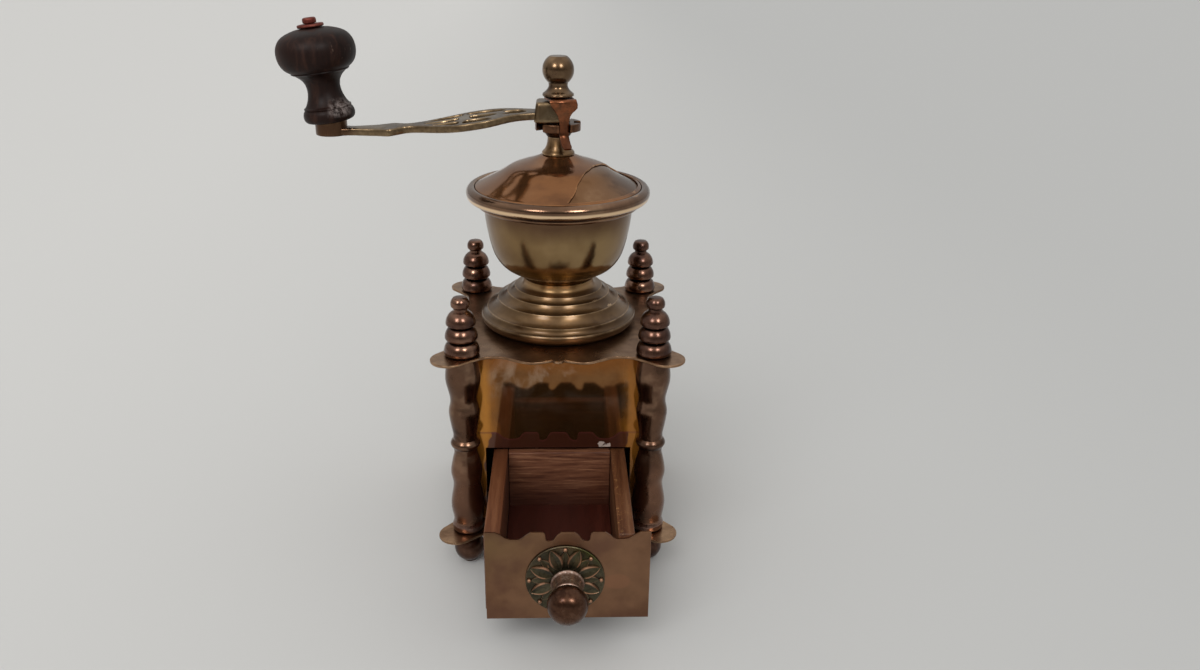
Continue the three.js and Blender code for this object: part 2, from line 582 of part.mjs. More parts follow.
// The drawer, drawn pulled out. Its front is a sheet plate that laps over the case.
const drawer = new THREE.Group();
grinder.add(drawer);
const frontBack = caseFrontY - gap - drawerPull;
const boardBottom = basePlateTop + 0.5;
const wallTop = 55;
const boxFront = frontBack + 0.2;
const boxRear = boxFront + 72.9;
const wallInner = drawerHalfWidth - drawerWall;
const drawerBox = (x0, x1, ...rest) => box(drawerCentre + x0, drawerCentre + x1, ...rest);
const backBoard = 4.5;
const innerFrontBoard = 6;
[['left', -1], ['right', 1]].forEach(([side, sign]) => {
  const outer = sign * drawerHalfWidth;
  const inner = sign * wallInner;
  const board = drawerBox(
    Math.min(outer, inner), Math.max(outer, inner), boxFront, boxRear, boardBottom, wallTop);
  piece(`drawer_side_${side}`, board, drawerWood, drawer);
});
const between = wallInner - 0.25;
const backBox = drawerBox(-between, between, boxRear - backBoard, boxRear, boardBottom, wallTop);
piece('drawer_back', backBox, drawerWood, drawer);

const knobX = 3.8;
const knobZ = 34.2;
const innerFront = new THREE.Shape([
  new THREE.Vector2(drawerCentre - between, boardBottom), new THREE.Vector2(drawerCentre + between, boardBottom),
  new THREE.Vector2(drawerCentre + between, 48.4), new THREE.Vector2(drawerCentre - between, 48.4),
]);
innerFront.holes.push(circleHole(knobX, knobZ, 2.2));
piece('drawer_inner_front', uprightSheet(innerFront, innerFrontBoard, boxFront, 5), drawerWood, drawer);
const floorFront = boxFront + innerFrontBoard + 0.25;
const floorRear = boxRear - backBoard - 0.25;
piece('drawer_floor', drawerBox(-between, between, floorFront, floorRear, 23, 26.6), drawerWood, drawer);

const edgeHalf = [
  [drawerFrontHalf, 0], [29.8, 0], [27.6, 1.2], [25.2, 2.9], [22.4, 3.5], [19.6, 3.2], [17.4, 1.5], [15.3, 0],
  [10.3, 0], [9.4, 0.9], [9, 3.4], [8, 4.3], [6.2, 3.8], [4.6, 1.6], [2.7, 0],
];
const plateShape = new THREE.Shape([
  ...edgeHalf.map(([x, down]) => new THREE.Vector2(drawerFrontCentre + x, drawerFrontTop - down)),
  ...edgeHalf.slice().reverse()
    .map(([x, down]) => new THREE.Vector2(drawerFrontCentre - x, drawerFrontTop - down)),
  new THREE.Vector2(drawerFrontCentre - drawerFrontHalf, drawerFrontBottom),
  new THREE.Vector2(drawerFrontCentre + drawerFrontHalf, drawerFrontBottom),
]);
plateShape.holes.push(circleHole(knobX, knobZ, 2.2));
const plateFront = frontBack - drawerFrontThickness;
piece('drawer_front', uprightSheet(plateShape, drawerFrontThickness, plateFront, 5), bronze, drawer);

// The rosette, collar and pull on the drawer front, drawn upright and laid towards -Y.
const pull = new THREE.Group();
pull.position.set(knobX, plateFront, knobZ);
pull.rotation.x = Math.PI / 2;
drawer.add(pull);
const petals = 8;
const rosetteShift = -0.9;
let rosette = solid(turned([[0, gap], [16.6, gap], [16.6, 0.9], [14.2, 1.2], [0, 1.5]], 32));
for (let petal = 0; petal < petals; petal += 1) {
  const leaf = new THREE.SphereGeometry(1, 6, 3).scale(3, 5.4, 1.9).translate(0, 10.6, 0.9)
    .rotateZ(((petal + 0.5) * 2 * Math.PI) / petals);
  const bead = new THREE.SphereGeometry(1.1, 5, 3).translate(0, 14.7, 1.3)
    .rotateZ((petal * 2 * Math.PI) / petals);
  rosette = rosette.add(solid(leaf)).add(solid(bead));
}
const plateSide = solid(box(-30, 30, -30, 30, -10, gap));
const rosetteBody = rosette.subtract(plateSide).translate([rosetteShift, 0, 0])
  .subtract(solid(rod(2.3, -4, 8)));
piece('drawer_rosette', skin(rosetteBody), verdigris, pull);
piece('pull_collar', turned([
  [2.3, 3.1], [7, 3.1], [7.1, 3.9], [6.5, 4.7], [6.3, 6.2], [6.2, 9], [6.4, 11.2], [6.4, 12.4], [2.3, 12.4],
], 20), bronze, pull);
piece('drawer_pull', turned([
  [2.3, 12.7], [5.6, 12.7], [7.1, 13.7], [8.1, 15.4], [8.4, 17.4], [8, 19.7], [6.8, 21.7],
  [4.7, 23.2], [2.2, 24], [0, 24.1], [0, 20], [2.3, 20],
], 20), copper, pull);
piece('pull_screw', turned([
  [0, -10.2], [3.4, -9.8], [3.4, -8.4], [1.8, -8.4], [1.8, 19.6], [0, 19.6],
], 12), iron, pull);

grinder.position.set(spindleX, spindleY, 0);

export default grinder;
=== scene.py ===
import math

import bmesh
import bpy
from mathutils import Matrix, Vector


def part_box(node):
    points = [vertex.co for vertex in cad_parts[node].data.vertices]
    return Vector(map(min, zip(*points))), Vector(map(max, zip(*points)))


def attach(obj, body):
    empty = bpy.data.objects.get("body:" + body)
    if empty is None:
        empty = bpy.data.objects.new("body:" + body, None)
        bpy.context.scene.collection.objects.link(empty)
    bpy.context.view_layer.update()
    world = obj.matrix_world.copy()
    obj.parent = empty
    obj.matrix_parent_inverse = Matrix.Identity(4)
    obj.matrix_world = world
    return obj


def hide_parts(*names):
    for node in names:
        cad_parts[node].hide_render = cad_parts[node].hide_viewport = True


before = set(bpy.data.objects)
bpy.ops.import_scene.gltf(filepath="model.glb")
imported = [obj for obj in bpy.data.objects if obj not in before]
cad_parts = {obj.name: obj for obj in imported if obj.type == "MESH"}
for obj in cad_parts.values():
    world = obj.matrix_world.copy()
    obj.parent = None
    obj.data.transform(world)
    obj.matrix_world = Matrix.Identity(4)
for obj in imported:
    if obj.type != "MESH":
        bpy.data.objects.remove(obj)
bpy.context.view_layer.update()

# The camera stands in front of the mill and looks down on it, a hand's turn off level, with a short
# lens. Its place and direction follow from the round rings of the hopper and the square of columns.
low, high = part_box("drive_spindle")
spindle = Vector(((low[0] + high[0]) / 2, (low[1] + high[1]) / 2, 0))
yaw = math.radians(2.5207)
pitch = math.radians(22.27)
roll = math.radians(0.9417)
ahead = Vector((math.sin(yaw) * math.cos(pitch), math.cos(yaw) * math.cos(pitch), -math.sin(pitch)))
level_right = Vector((math.cos(yaw), -math.sin(yaw), 0))
level_up = level_right.cross(ahead)
right = level_right * math.cos(roll) + level_up * math.sin(roll)
up = level_up * math.cos(roll) - level_right * math.sin(roll)
camera_data = bpy.data.cameras.new("camera")
camera_data.sensor_width = 36
camera_data.lens = 29.578
camera_data.clip_start = 0.01
camera = bpy.data.objects.new("camera", camera_data)
camera.matrix_world = Matrix.Translation(spindle + Vector((0.0007, -0.44972, 0.28417))) @ Matrix(
    (right, up, -ahead)
).transposed().to_4x4()
bpy.context.scene.collection.objects.link(camera)
bpy.context.scene.camera = camera
bpy.context.scene.view_settings.view_transform = "Standard"


# The studio: a pale grey table without a seam, a wide soft light from the front left and above, a
# room that is dark towards the camera, and two round lamps that only show as highlights on the metal.
def add(tree, kind, inputs=None, **settings):
    made = tree.nodes.new(kind)
    for name, value in settings.items():
        setattr(made, name, value)
    for name, value in (inputs or {}).items():
        if isinstance(value, bpy.types.NodeSocket):
            tree.links.new(value, made.inputs[name])
        else:
            made.inputs[name].default_value = value
    return made


def shades(tree, amount, stops):
    ramp = add(tree, "ShaderNodeValToRGB", {"Fac": amount})
    ramp.color_ramp.interpolation = "EASE"
    while len(ramp.color_ramp.elements) < len(stops):
        ramp.color_ramp.elements.new(0.5)
    for element, (place, colour) in zip(ramp.color_ramp.elements, stops):
        element.position = place
        element.color = colour
    return ramp.outputs["Color"]


def srgb(red, green, blue):
    def linear(value):
        share = value / 255
        return share / 12.92 if share <= 0.04045 else ((share + 0.055) / 1.055) ** 2.4

    return (linear(red), linear(green), linear(blue), 1)


def stretch(tree, value, from_low, from_high, to_low, to_high):
    return add(
        tree,
        "ShaderNodeMapRange",
        {"Value": value, 1: from_low, 2: from_high, 3: to_low, 4: to_high},
    ).outputs[0]


def work_out(tree, how, first, second):
    return add(tree, "ShaderNodeMath", {0: first, 1: second}, operation=how).outputs[0]


def times(tree, first, second):
    return work_out(tree, "MULTIPLY", first, second)


def blend(tree, amount, under, over):
    return add(tree, "ShaderNodeMix", {0: amount, 6: under, 7: over}, data_type="RGBA").outputs[2]


def new_finish(name):
    finish = bpy.data.materials.new(name)
    finish.use_nodes = True
    tree = finish.node_tree
    tree.nodes.clear()
    shader = add(tree, "ShaderNodeBsdfPrincipled")
    add(tree, "ShaderNodeOutputMaterial", {"Surface": shader.outputs[0]})
    return finish, tree, shader


def dress(tree, shader, skin, roughness, relief, strength, depth):
    """Joins colour, roughness and relief to a shader; depth is in metres."""
    bump = {"Height": relief, "Strength": strength, "Distance": depth}
    bump = add(tree, "ShaderNodeBump", bump).outputs[0]
    for name, value in (("Base Color", skin), ("Roughness", roughness), ("Normal", bump)):
        tree.links.new(value, shader.inputs[name])


def shader_of(finish):
    return next(node for node in finish.node_tree.nodes if node.type == "BSDF_PRINCIPLED")


def about_spindle(tree):
    """Object coordinates in metres, counted from the foot of the spindle, as X, Y and Z."""
    place = add(tree, "ShaderNodeTexCoord").outputs["Object"]
    moved = add(tree, "ShaderNodeMapping", {"Vector": place, "Location": -spindle}).outputs[0]
    return add(tree, "ShaderNodeSeparateXYZ", {0: moved}).outputs


def within(finish):
    """The tree of a finish, and the three coordinates of about_spindle in it."""
    return (finish.node_tree, *about_spindle(finish.node_tree))


table_finish, tree, shader = new_finish("table")
shader.inputs["Roughness"].default_value = 0.7
shader.inputs["Specular IOR Level"].default_value = 0.3
# The table's colour is painted darker from left to right: painted light, falling off away from the light
# at the left.
sideways = stretch(tree, about_spindle(tree)["X"], -0.55, 0.55, 0, 1)
pale = shades(tree, sideways, [(0, srgb(201, 200, 198)), (1, srgb(178, 178, 177))])
tree.links.new(pale, shader.inputs["Base Color"])
bpy.ops.mesh.primitive_plane_add(size=24, location=(0, 4, 0))
table = bpy.context.object
table.name = "table"
table.data.transform(table.matrix_world)
table.matrix_world = Matrix.Identity(4)
table.data.materials.append(table_finish)

world = bpy.data.worlds.new("room")
bpy.context.scene.world = world
world.use_nodes = True
tree = world.node_tree
tree.nodes.clear()
direction = add(tree, "ShaderNodeTexCoord").outputs["Generated"]
part = add(tree, "ShaderNodeSeparateXYZ", {0: direction}).outputs
height = shades(
    tree,
    part["Z"],
    [(0, (0.42, 0.42, 0.41, 1)), (0.35, (0.56, 0.56, 0.55, 1)), (0.85, (1.0, 1.0, 0.98, 1))],
)
in_front = stretch(tree, part["Y"], -0.9, -0.3, 1, 0)
not_high = stretch(tree, part["Z"], 0.3, 0.75, 0.85, 0)
room_light = blend(tree, times(tree, in_front, not_high), height, (0.05, 0.045, 0.04, 1))
seen = add(tree, "ShaderNodeLightPath").outputs["Is Camera Ray"]
backdrop = blend(tree, seen, room_light, srgb(198, 198, 196))
sky = add(tree, "ShaderNodeBackground", {"Color": backdrop, "Strength": 0.9})
add(tree, "ShaderNodeOutputWorld", {"Surface": sky.outputs[0]})


def lamp(name, kind, place, aim, power, size):
    data = bpy.data.lights.new(name, kind)
    data.energy = power
    if kind == "SUN":
        data.angle = size
    else:
        data.shape = "DISK"
        data.size = size
    light = bpy.data.objects.new(name, data)
    light.location = spindle + Vector(place)
    light.rotation_euler = (Vector(aim) - Vector(place)).to_track_quat("-Z", "Y").to_euler()
    bpy.context.scene.collection.objects.link(light)
    return light


window = lamp("window", "SUN", (-0.6, -1.7, 1.5), (0, 0, 0.1), 1.9, math.radians(60))
window.visible_glossy = False
for side, bearing in (("left", -30), ("right", 25)):
    turn = math.radians(bearing)
    place = (1.7 * math.sin(turn), -1.7 * math.cos(turn), 1.35)
    round_lamp = lamp(f"round_lamp_{side}", "AREA", place, (0, 0, 0.15), 14, 0.6)
    round_lamp.visible_diffuse = False


# Four turned bun feet, brass with brown tarnish. Each is drilled from above for the tie rod and
# turned on a lathe, so a foot is a profile swept once round its own axis.
def flow(points, steps):
    last = len(points) - 1
    run = []
    for step in range(steps + 1):
        at = last * step / steps
        first = min(int(at), last - 1)
        t = at - first
        a, b, c, d = (Vector(points[max(0, min(last, first + k))]) for k in (-1, 0, 1, 2))
        begin = (c - a) / 2
        end = (d - b) / 2
        curve = (2 * b - 2 * c + begin + end) * t**3
        curve += (3 * c - 3 * b - 2 * begin - end) * t**2
        run.append(tuple(curve + begin * t + b))
    return run


def ease_corners(points, reach, steps=4):
    eased = [points[0]]
    for before, corner, after in zip(points, points[1:], points[2:]):
        p, q, r = Vector(before), Vector(corner), Vector(after)
        back, on = p - q, r - q
        if back.length < 1e-6 or on.length < 1e-6 or back.angle(on) > math.radians(155):
            eased.append(corner)
            continue
        start = q + back.normalized() * min(reach, 0.45 * back.length)
        end = q + on.normalized() * min(reach, 0.45 * on.length)
        for step in range(steps + 1):
            t = step / steps
            eased.append(tuple(start * (1 - t) ** 2 + q * 2 * t * (1 - t) + end * t**2))
    eased.append(points[-1])
    return eased


def close_set(points, longest):
    run = [points[0]]
    for before, after in zip(points, points[1:]):
        p, q = Vector(before), Vector(after)
        count = max(1, math.ceil((q - p).length / longest))
        run += [tuple(p.lerp(q, (k + 1) / count)) for k in range(count)]
    return run


def keep_mesh(name, body, finish, smooth=35):
    bmesh.ops.remove_doubles(body, verts=body.verts, dist=1e-7)
    bmesh.ops.recalc_face_normals(body, faces=body.faces)
    for face in body.faces:
        face.smooth = True
    mesh = bpy.data.meshes.new(name)
    body.to_mesh(mesh)
    body.free()
    mesh.set_sharp_from_angle(angle=math.radians(smooth))
    mesh.materials.append(finish)
    made = bpy.data.objects.new(name, mesh)
    bpy.context.scene.collection.objects.link(made)
    return made


def bridge(body, rings):
    """Faces between each closed ring of vertices and the next; a ring may be one point."""
    for lower, upper in zip(rings, rings[1:]):
        for k, here in enumerate(lower):
            following = (k + 1) % len(lower)
            corners = [here, lower[following], upper[following], upper[k]]
            corners = [v for i, v in enumerate(corners) if v not in corners[:i]]
            if len(corners) > 2:
                body.faces.new(corners)


def turned(name, profile, finish, sides=96, longest=1.2, hollow=False, smooth=35):
    """A lathe piece from its half profile in millimetres, as (radius, height)."""
    body = bmesh.new()
    points = close_set(list(profile) + ([profile[0]] if hollow else []), longest)
    rings = []
    for radius, height in points:
        if radius < 1e-6:
            rings.append([body.verts.new((0, 0, height / 1000))] * sides)
            continue
        angles = [2 * math.pi * k / sides for k in range(sides)]
        spots = [Vector((radius * math.cos(a), radius * math.sin(a), height)) / 1000 for a in angles]
        rings.append([body.verts.new(spot) for spot in spots])
    bridge(body, rings)
    return keep_mesh(name, body, finish, smooth)


def make_real(piece):
    bpy.context.view_layer.update()
    mesh = bpy.data.meshes.new_from_object(piece.evaluated_get(bpy.context.evaluated_depsgraph_get()))
    piece.modifiers.clear()
    piece.data = mesh
    return piece


def fit(piece, body, slot, *nodes, at=None):
    """Moves a finished piece from the origin to its place and ties it to its body."""
    if at:
        piece.data.transform(at)
    piece.data.transform(Matrix.Translation(spindle))
    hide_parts(*nodes)
    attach(piece, body)


def speckle(tree, scale, detail=4, stretched=(1, 1, 1), rough=0.55, warp=0.0):
    """Noise in object space; scale counts features to the metre."""
    place = add(tree, "ShaderNodeTexCoord").outputs["Object"]
    place = add(tree, "ShaderNodeMapping", {"Vector": place, "Scale": stretched}).outputs[0]
    return add(
        tree,
        "ShaderNodeTexNoise",
        {"Vector": place, "Scale": scale, "Detail": detail, "Roughness": rough, "Distortion": warp},
    ).outputs[0]


def tarnished(
    name, *skins, gloss, hollow_tone, worn, patch=40, speck=0.25, lathe=0.0, dent=0.02, hollow=0.75,
    lacquer=0.25,
):
    """Brass with a skin of tarnish: clouds, fine specks, dark hollows, rubbed edges, lathe lines.

    skins are its dark, middle and light colour, gloss the roughness of the light and the dark ones,
    patch the clouds to the metre, and speck, lathe, dent and hollow how strong each mark is.
    """
    finish, tree, shader = new_finish(name)
    clouds = speckle(tree, patch, 4, warp=0.3)
    specks = speckle(tree, patch * 8, 5, rough=0.6)
    mixed = add(tree, "ShaderNodeMix", {0: speck, 2: clouds, 3: specks}, data_type="FLOAT").outputs[0]
    skin = shades(tree, mixed, [(level, srgb(*skins[k])) for k, level in enumerate((0.38, 0.5, 0.62))])
    # Hollows darken towards the given colour wherever ambient occlusion finds nearby surfaces.
    sunk = add(tree, "ShaderNodeAmbientOcclusion", {"Distance": 0.003}, samples=6, only_local=True)
    skin = blend(tree, stretch(tree, sunk.outputs["AO"], 0.35, 0.85, hollow, 0), skin, srgb(*hollow_tone))
    edge = stretch(tree, add(tree, "ShaderNodeNewGeometry").outputs["Pointiness"], 0.515, 0.56, 0, 0.8)
    rubbed = times(tree, edge, stretch(tree, specks, 0.35, 0.6, 0.3, 1))
    skin = blend(tree, rubbed, skin, srgb(*worn))
    shader.inputs["Metallic"].default_value = 1
    shader.inputs["Coat Weight"].default_value = lacquer
    shader.inputs["Coat Roughness"].default_value = 0.16
    relief = speckle(tree, 600, 3)
    if lathe:
        turning = speckle(tree, 900, 2, (0.02, 0.02, 1))
        relief = work_out(tree, "ADD", times(tree, turning, lathe), relief)
    rough = stretch(tree, mixed, 0.35, 0.65, gloss[1], gloss[0])
    dress(tree, shader, skin, rough, relief, dent, 0.0004)
    return finish


def brushed(finish, amount):
    """Fine turning marks: highlights stretch up and down a turned surface, across the marks."""
    tree = finish.node_tree
    shader = shader_of(finish)
    across, along, _ = about_spindle(tree)
    marks = add(tree, "ShaderNodeCombineXYZ", {"X": times(tree, along, -1), "Y": across}).outputs[0]
    to_world = {"convert_from": "OBJECT", "convert_to": "WORLD"}
    marks = add(tree, "ShaderNodeVectorTransform", {0: marks}, **to_world).outputs[0]
    tree.links.new(marks, shader.inputs["Tangent"])
    shader.inputs["Anisotropic"].default_value = amount
    shader.inputs["Anisotropic Rotation"].default_value = 0.25


def coat(finish, amount, colour):
    """Lays a colour over what the finish already has; amount is a socket of the same tree."""
    tree = finish.node_tree
    skin = shader_of(finish).inputs["Base Color"]
    tree.links.new(blend(tree, amount, skin.links[0].from_socket, srgb(*colour)), skin)


def band(tree, value, rise, top, fade, end):
    """1 between top and fade, falling to 0 at rise and at end."""
    up_side = stretch(tree, value, rise, top, 0, 1)
    down_side = stretch(tree, value, fade, end, 1, 0)
    return times(tree, up_side, down_side)


def ball(centre, radius, start, end, steps):
    run = []
    for step in range(steps + 1):
        angle = math.radians(start + (end - start) * step / steps)
        run.append((radius * math.cos(angle), centre + radius * math.sin(angle)))
    return run


def set_on_corners(piece, spacing):
    """Copies of a piece on the four corners of the square of columns."""
    tree = bpy.data.node_groups.new("on_corners", "GeometryNodeTree")
    tree.interface.new_socket("Geometry", in_out="INPUT", socket_type="NodeSocketGeometry")
    size = tree.interface.new_socket("Spacing", in_out="INPUT", socket_type="NodeSocketFloat")
    tree.interface.new_socket("Geometry", in_out="OUTPUT", socket_type="NodeSocketGeometry")
    entry = add(tree, "NodeGroupInput").outputs
    side = {"Size X": entry["Spacing"], "Size Y": entry["Spacing"], "Vertices X": 2, "Vertices Y": 2}
    square = add(tree, "GeometryNodeMeshGrid", side).outputs["Mesh"]
    placed = {"Points": square, "Instance": entry["Geometry"]}
    copies = add(tree, "GeometryNodeInstanceOnPoints", placed)
    real = add(tree, "GeometryNodeRealizeInstances", {"Geometry": copies.outputs[0]}).outputs[0]
    finish = {"Geometry": real, "Material": piece.data.materials[0]}
    finished = add(tree, "GeometryNodeSetMaterial", finish).outputs[0]
    add(tree, "NodeGroupOutput", {"Geometry": finished})
    spread = piece.modifiers.new("on corners", "NODES")
    spread.node_group = tree
    spread[size.identifier] = spacing / 1000
    return make_real(piece)


def four(kind):
    return [f"{kind}_{where}" for where in ("front_left", "front_right", "rear_left", "rear_right")]


column_spacing = 86
on_base_plate, under_top_plate, on_top_plate = 17.9, 106.9, 108.7
foot_bronze = tarnished(
    "foot_bronze", (66, 42, 32), (88, 60, 46), (110, 80, 62), gloss=(0.26, 0.4),
    hollow_tone=(30, 18, 12), worn=(150, 112, 88), patch=50, lathe=0.5,
)
feet = turned(
    "feet",
    [(0, 0), (3, 0)]
    + ball(7.2, 7.2, -62, 50, 24)
    + [(4.6, 13.2), (4.6, 16.1), (2.3, 16.1), (2.3, 6), (0, 6)],
    foot_bronze,
    64,
    0.8,
)
feet = set_on_corners(feet, column_spacing)
fit(feet, "mill", "bronze", *four("foot"))


# The two plates, cut from one sheet of brass to the same scalloped outline and bored for the rods.
# The upper one is also bored for the burr; the lower one is cut back where the drawer passes.
def turned_by(x, y, quarter):
    return ((x, y), (-y, x), (-x, -y), (y, -x))[quarter]


def ring(x, y, radius, count):
    angles = [-2 * math.pi * k / count for k in range(count)]
    return [(x + radius * math.cos(a), y + radius * math.sin(a)) for a in angles]


def cut_sheet(name, loops, edge, finish, smooth=20):
    """A sheet from its outline and holes; edge lists (inset, height) from below to above."""
    body = bmesh.new()
    for loop in loops:
        count = len(loop)
        offsets = []
        for k in range(count):
            before, here, after = Vector(loop[k - 1]), Vector(loop[k]), Vector(loop[(k + 1) % count])
            one, two = (here - before).normalized(), (after - here).normalized()
            side = (Vector((one.y, -one.x)) + Vector((two.y, -two.x))).normalized()
            reach = 1 / max(0.6, side.dot(Vector((one.y, -one.x))))
            offsets.append((here, side * reach))
        rings = []
        for inset, z in edge:
            lift = Vector((0, 0, z / 1000))
            rings.append([body.verts.new((p - n * inset).to_3d() / 1000 + lift) for p, n in offsets])
        bridge(body, rings)
    rims = {}
    for e in body.edges:
        if len(e.link_faces) == 1:
            rims.setdefault(round(e.verts[0].co.z, 7), []).append(e)
    for edges in rims.values():
        bmesh.ops.triangle_fill(body, use_beauty=True, use_dissolve=False, edges=edges)
    return keep_mesh(name, body, finish, smooth)


def rolled_edge(lower, upper, soft):
    return [(soft, lower), (soft * 0.3, lower + soft * 0.3), (0, lower + soft)] + [
        (0, upper - soft),
        (soft * 0.3, upper - soft * 0.3),
        (soft, upper),
    ]


side_half = [(38, 50.6), (33, 47.2), (28.2, 46.2), (23.6, 47.2), (15.6, 51.8), (10.2, 52.8), (2.6, 50.4)]
bud = [(-1.5, -51.6), (0, -52.3), (1.5, -51.6)]
lobe_at = 48.2
lobe_radius = 8.5
lobe_join = 37.5


def scallops(recess):
    outline = []
    for quarter in range(4):
        if quarter == 0 and recess:
            outline += [(-38, -50.6), (-34.3, -47.9), (-34.3, -35)]
            outline += [(36.3, -35), (36.3, -49.4), (38, -50.6)]
        else:
            run = flow([(-x, -y) for x, y in side_half], 40) + bud
            run += flow([(x, -y) for x, y in reversed(side_half)], 40)
            outline += [turned_by(x, y, quarter) for x, y in run]
        lobe = turned_by(lobe_at, -lobe_at, quarter)
        for step in range(1, 40):
            angle = math.radians(-180 + lobe_join + (270 - 2 * lobe_join) * step / 40 + 90 * quarter)
            across, along = lobe_radius * math.cos(angle), lobe_radius * math.sin(angle)
            outline.append((lobe[0] + across, lobe[1] + along))
    return outline


plate_brass = tarnished(
    "plate_brass", (88, 62, 44), (112, 81, 59), (130, 100, 76), gloss=(0.24, 0.34),
    hollow_tone=(50, 28, 14), worn=(196, 160, 126), patch=20, speck=0.12, dent=0.015, lacquer=0.0,
)
rod_holes = [ring(x, y, 2.35, 24) for x in (-43, 43) for y in (-43, 43)]
base_plate = cut_sheet(
    "base_plate_sheet", [scallops(True)] + rod_holes, rolled_edge(16.4, 17.6, 0.3), plate_brass
)
fit(base_plate, "mill", "bronze", "base_plate")
screw_angles = [math.radians(a) for a in (90, 210, 330)]
screw_holes = [ring(26.2 * math.sin(a), -26.2 * math.cos(a), 1.7, 16) for a in screw_angles]
top_plate = cut_sheet(
    "top_plate_sheet",
    [scallops(False)] + rod_holes + [ring(0, 0, 23, 64)] + screw_holes,
    rolled_edge(107.2, 108.4, 0.3),
    plate_brass,
)
fit(top_plate, "mill", "bronze", "top_plate")

# Four turned columns between the plates, brown and rubbed to a pink on the collars. A tie rod runs
# through each from foot to finial and pulls the stack together.
column_bronze = tarnished(
    "column_bronze", (66, 44, 31), (98, 70, 52), (132, 102, 80), gloss=(0.2, 0.32),
    hollow_tone=(40, 24, 16), worn=(190, 150, 124), patch=38, speck=0.2, lathe=0.4,
)
tree, _, _, upwards = within(column_bronze)
worn_foot = band(tree, upwards, 0.0175, 0.018, 0.0215, 0.0228)
coat(column_bronze, stretch(tree, upwards, 0.048, 0.06, 0.6, 0), (122, 86, 66))
coat(column_bronze, times(tree, worn_foot, 0.6), (130, 102, 92))
column_profile = ease_corners([(2.3, 0), (6.9, 0), (7.5, 0.8), (7.5, 3.2), (6.8, 4.4)], 0.5)
column_profile += flow([(6.9, 6.6), (7.8, 14.5), (6.4, 24.3), (7.3, 31.8), (5.4, 41.2)], 48)
column_profile += flow([(5.6, 43.6), (6.5, 44.8), (6.9, 46), (6.5, 47.2), (5.6, 48.4)], 14)
column_profile += flow([(5.5, 50.9), (7.1, 61.6), (6.2, 68.8), (8, 78.9), (6.8, 89)], 48) + [(2.3, 89)]
column_profile = [(r, z + on_base_plate) for r, z in column_profile]
columns = turned("columns", column_profile, column_bronze, 64, 1.2, True)
columns = set_on_corners(columns, column_spacing)
fit(columns, "mill", "bronze", *four("column"))

# Finials of three beads and a small cap, screwed onto the tie rods above the upper plate. They are
# darker than the columns, and each bead has a crisp lower edge over a dark groove.
finial_bronze = tarnished(
    "finial_bronze", (70, 46, 38), (98, 68, 54), (126, 94, 76), gloss=(0.2, 0.34),
    hollow_tone=(30, 16, 10), worn=(164, 124, 100), patch=60, speck=0.15, hollow=0.95,
)
finial_profile = ease_corners([(2.3, 0), (7.3, 0), (7.9, 0.6), (8, 1.5)], 0.3)
finial_profile += flow([(7.95, 2), (7.5, 3.8), (6.6, 5.3), (5, 6.5)], 12)
finial_profile += [(4.8, 6.7), (4.9, 7), (6.7, 7.1)]
finial_profile += flow([(7.2, 7.6), (7.3, 8.6), (6.9, 10.4), (5.9, 12.2), (4.7, 13.2)], 16)
finial_profile += [(4.4, 13.4), (4.5, 13.7), (6.1, 13.8)]
finial_profile += flow([(6.6, 14.3), (6.65, 15.3), (6.2, 17.2), (5, 19.1), (3.4, 20.3)], 16)
finial_profile += [(3.1, 20.6), (3, 21.5), (3.6, 22)]
finial_profile += flow([(4.1, 22.5), (4.25, 23.6), (4, 25), (3.1, 26.4), (1.6, 26.8), (0, 26.9)], 18)
finial_profile += [(0, 17.6), (2.3, 17.6)]
finial_profile = [(r, z + on_top_plate) for r, z in finial_profile]
finials = turned("finials", finial_profile, finial_bronze, 64, 1, True)
finials = set_on_corners(finials, column_spacing)
fit(finials, "mill", "bronze", *four("finial"))

# Dark iron inside and below: tie rods, burrs, the bearing strap, screws and the spindle. The solids
# already have their shape, so they only get the finish of cast and turned iron.
iron_dark, tree, shader = new_finish("iron_dark")
iron_shades = [(0.35, srgb(52, 46, 42)), (0.55, srgb(84, 78, 73)), (0.7, srgb(96, 70, 52))]
skin = shades(tree, speckle(tree, 160, 6), iron_shades)
rough = stretch(tree, speckle(tree, 420, 4), 0.3, 0.7, 0.38, 0.62)
dress(tree, shader, skin, rough, speckle(tree, 900, 4), 0.2, 0.0002)
shader.inputs["Metallic"].default_value = 0.9
iron_nodes = ["outer_burr", "inner_burr", "lower_bearing", "drive_spindle", "pull_screw"]
iron_nodes += [f"burr_screw_{k}" for k in (1, 2, 3)] + ["bearing_screw_left", "bearing_screw_right"]
iron_nodes += four("tie_rod")


def refinish(names, finish):
    for name in names:
        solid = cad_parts[name]
        solid.data.materials.clear()
        solid.data.materials.append(finish)


refinish(iron_nodes, iron_dark)

# The case: one sheet folded round the sides and the back, and a wider front sheet that runs behind
# the columns, with the drawer's opening at its foot. The front is nearly a mirror. Its amber borders
# are painted reflections, of the columns at the sides and of the upper plate's underside at the top,
# and the notched drawer plate has left a dark red print above the opening.
case_brass = tarnished(
    "case_brass", (118, 84, 48), (142, 104, 62), (160, 124, 78), gloss=(0.12, 0.22),
    hollow_tone=(60, 36, 18), worn=(170, 130, 90), patch=24, speck=0.1, dent=0.012,
)
front_mirror = tarnished(
    "front_mirror", (102, 64, 32), (116, 76, 42), (130, 88, 50), gloss=(0.045, 0.08),
    hollow_tone=(90, 54, 24), worn=(150, 110, 70), patch=16, speck=0.05, dent=0.004, hollow=0.2, lacquer=0.0,
)
tree, across, _, upwards = within(front_mirror)
wave = stretch(tree, speckle(tree, 55, 3), 0.3, 0.7, -0.003, 0.003)
smudge = stretch(tree, speckle(tree, 38, 5, warp=1.2), 0.5, 0.62, 0, 0.75)
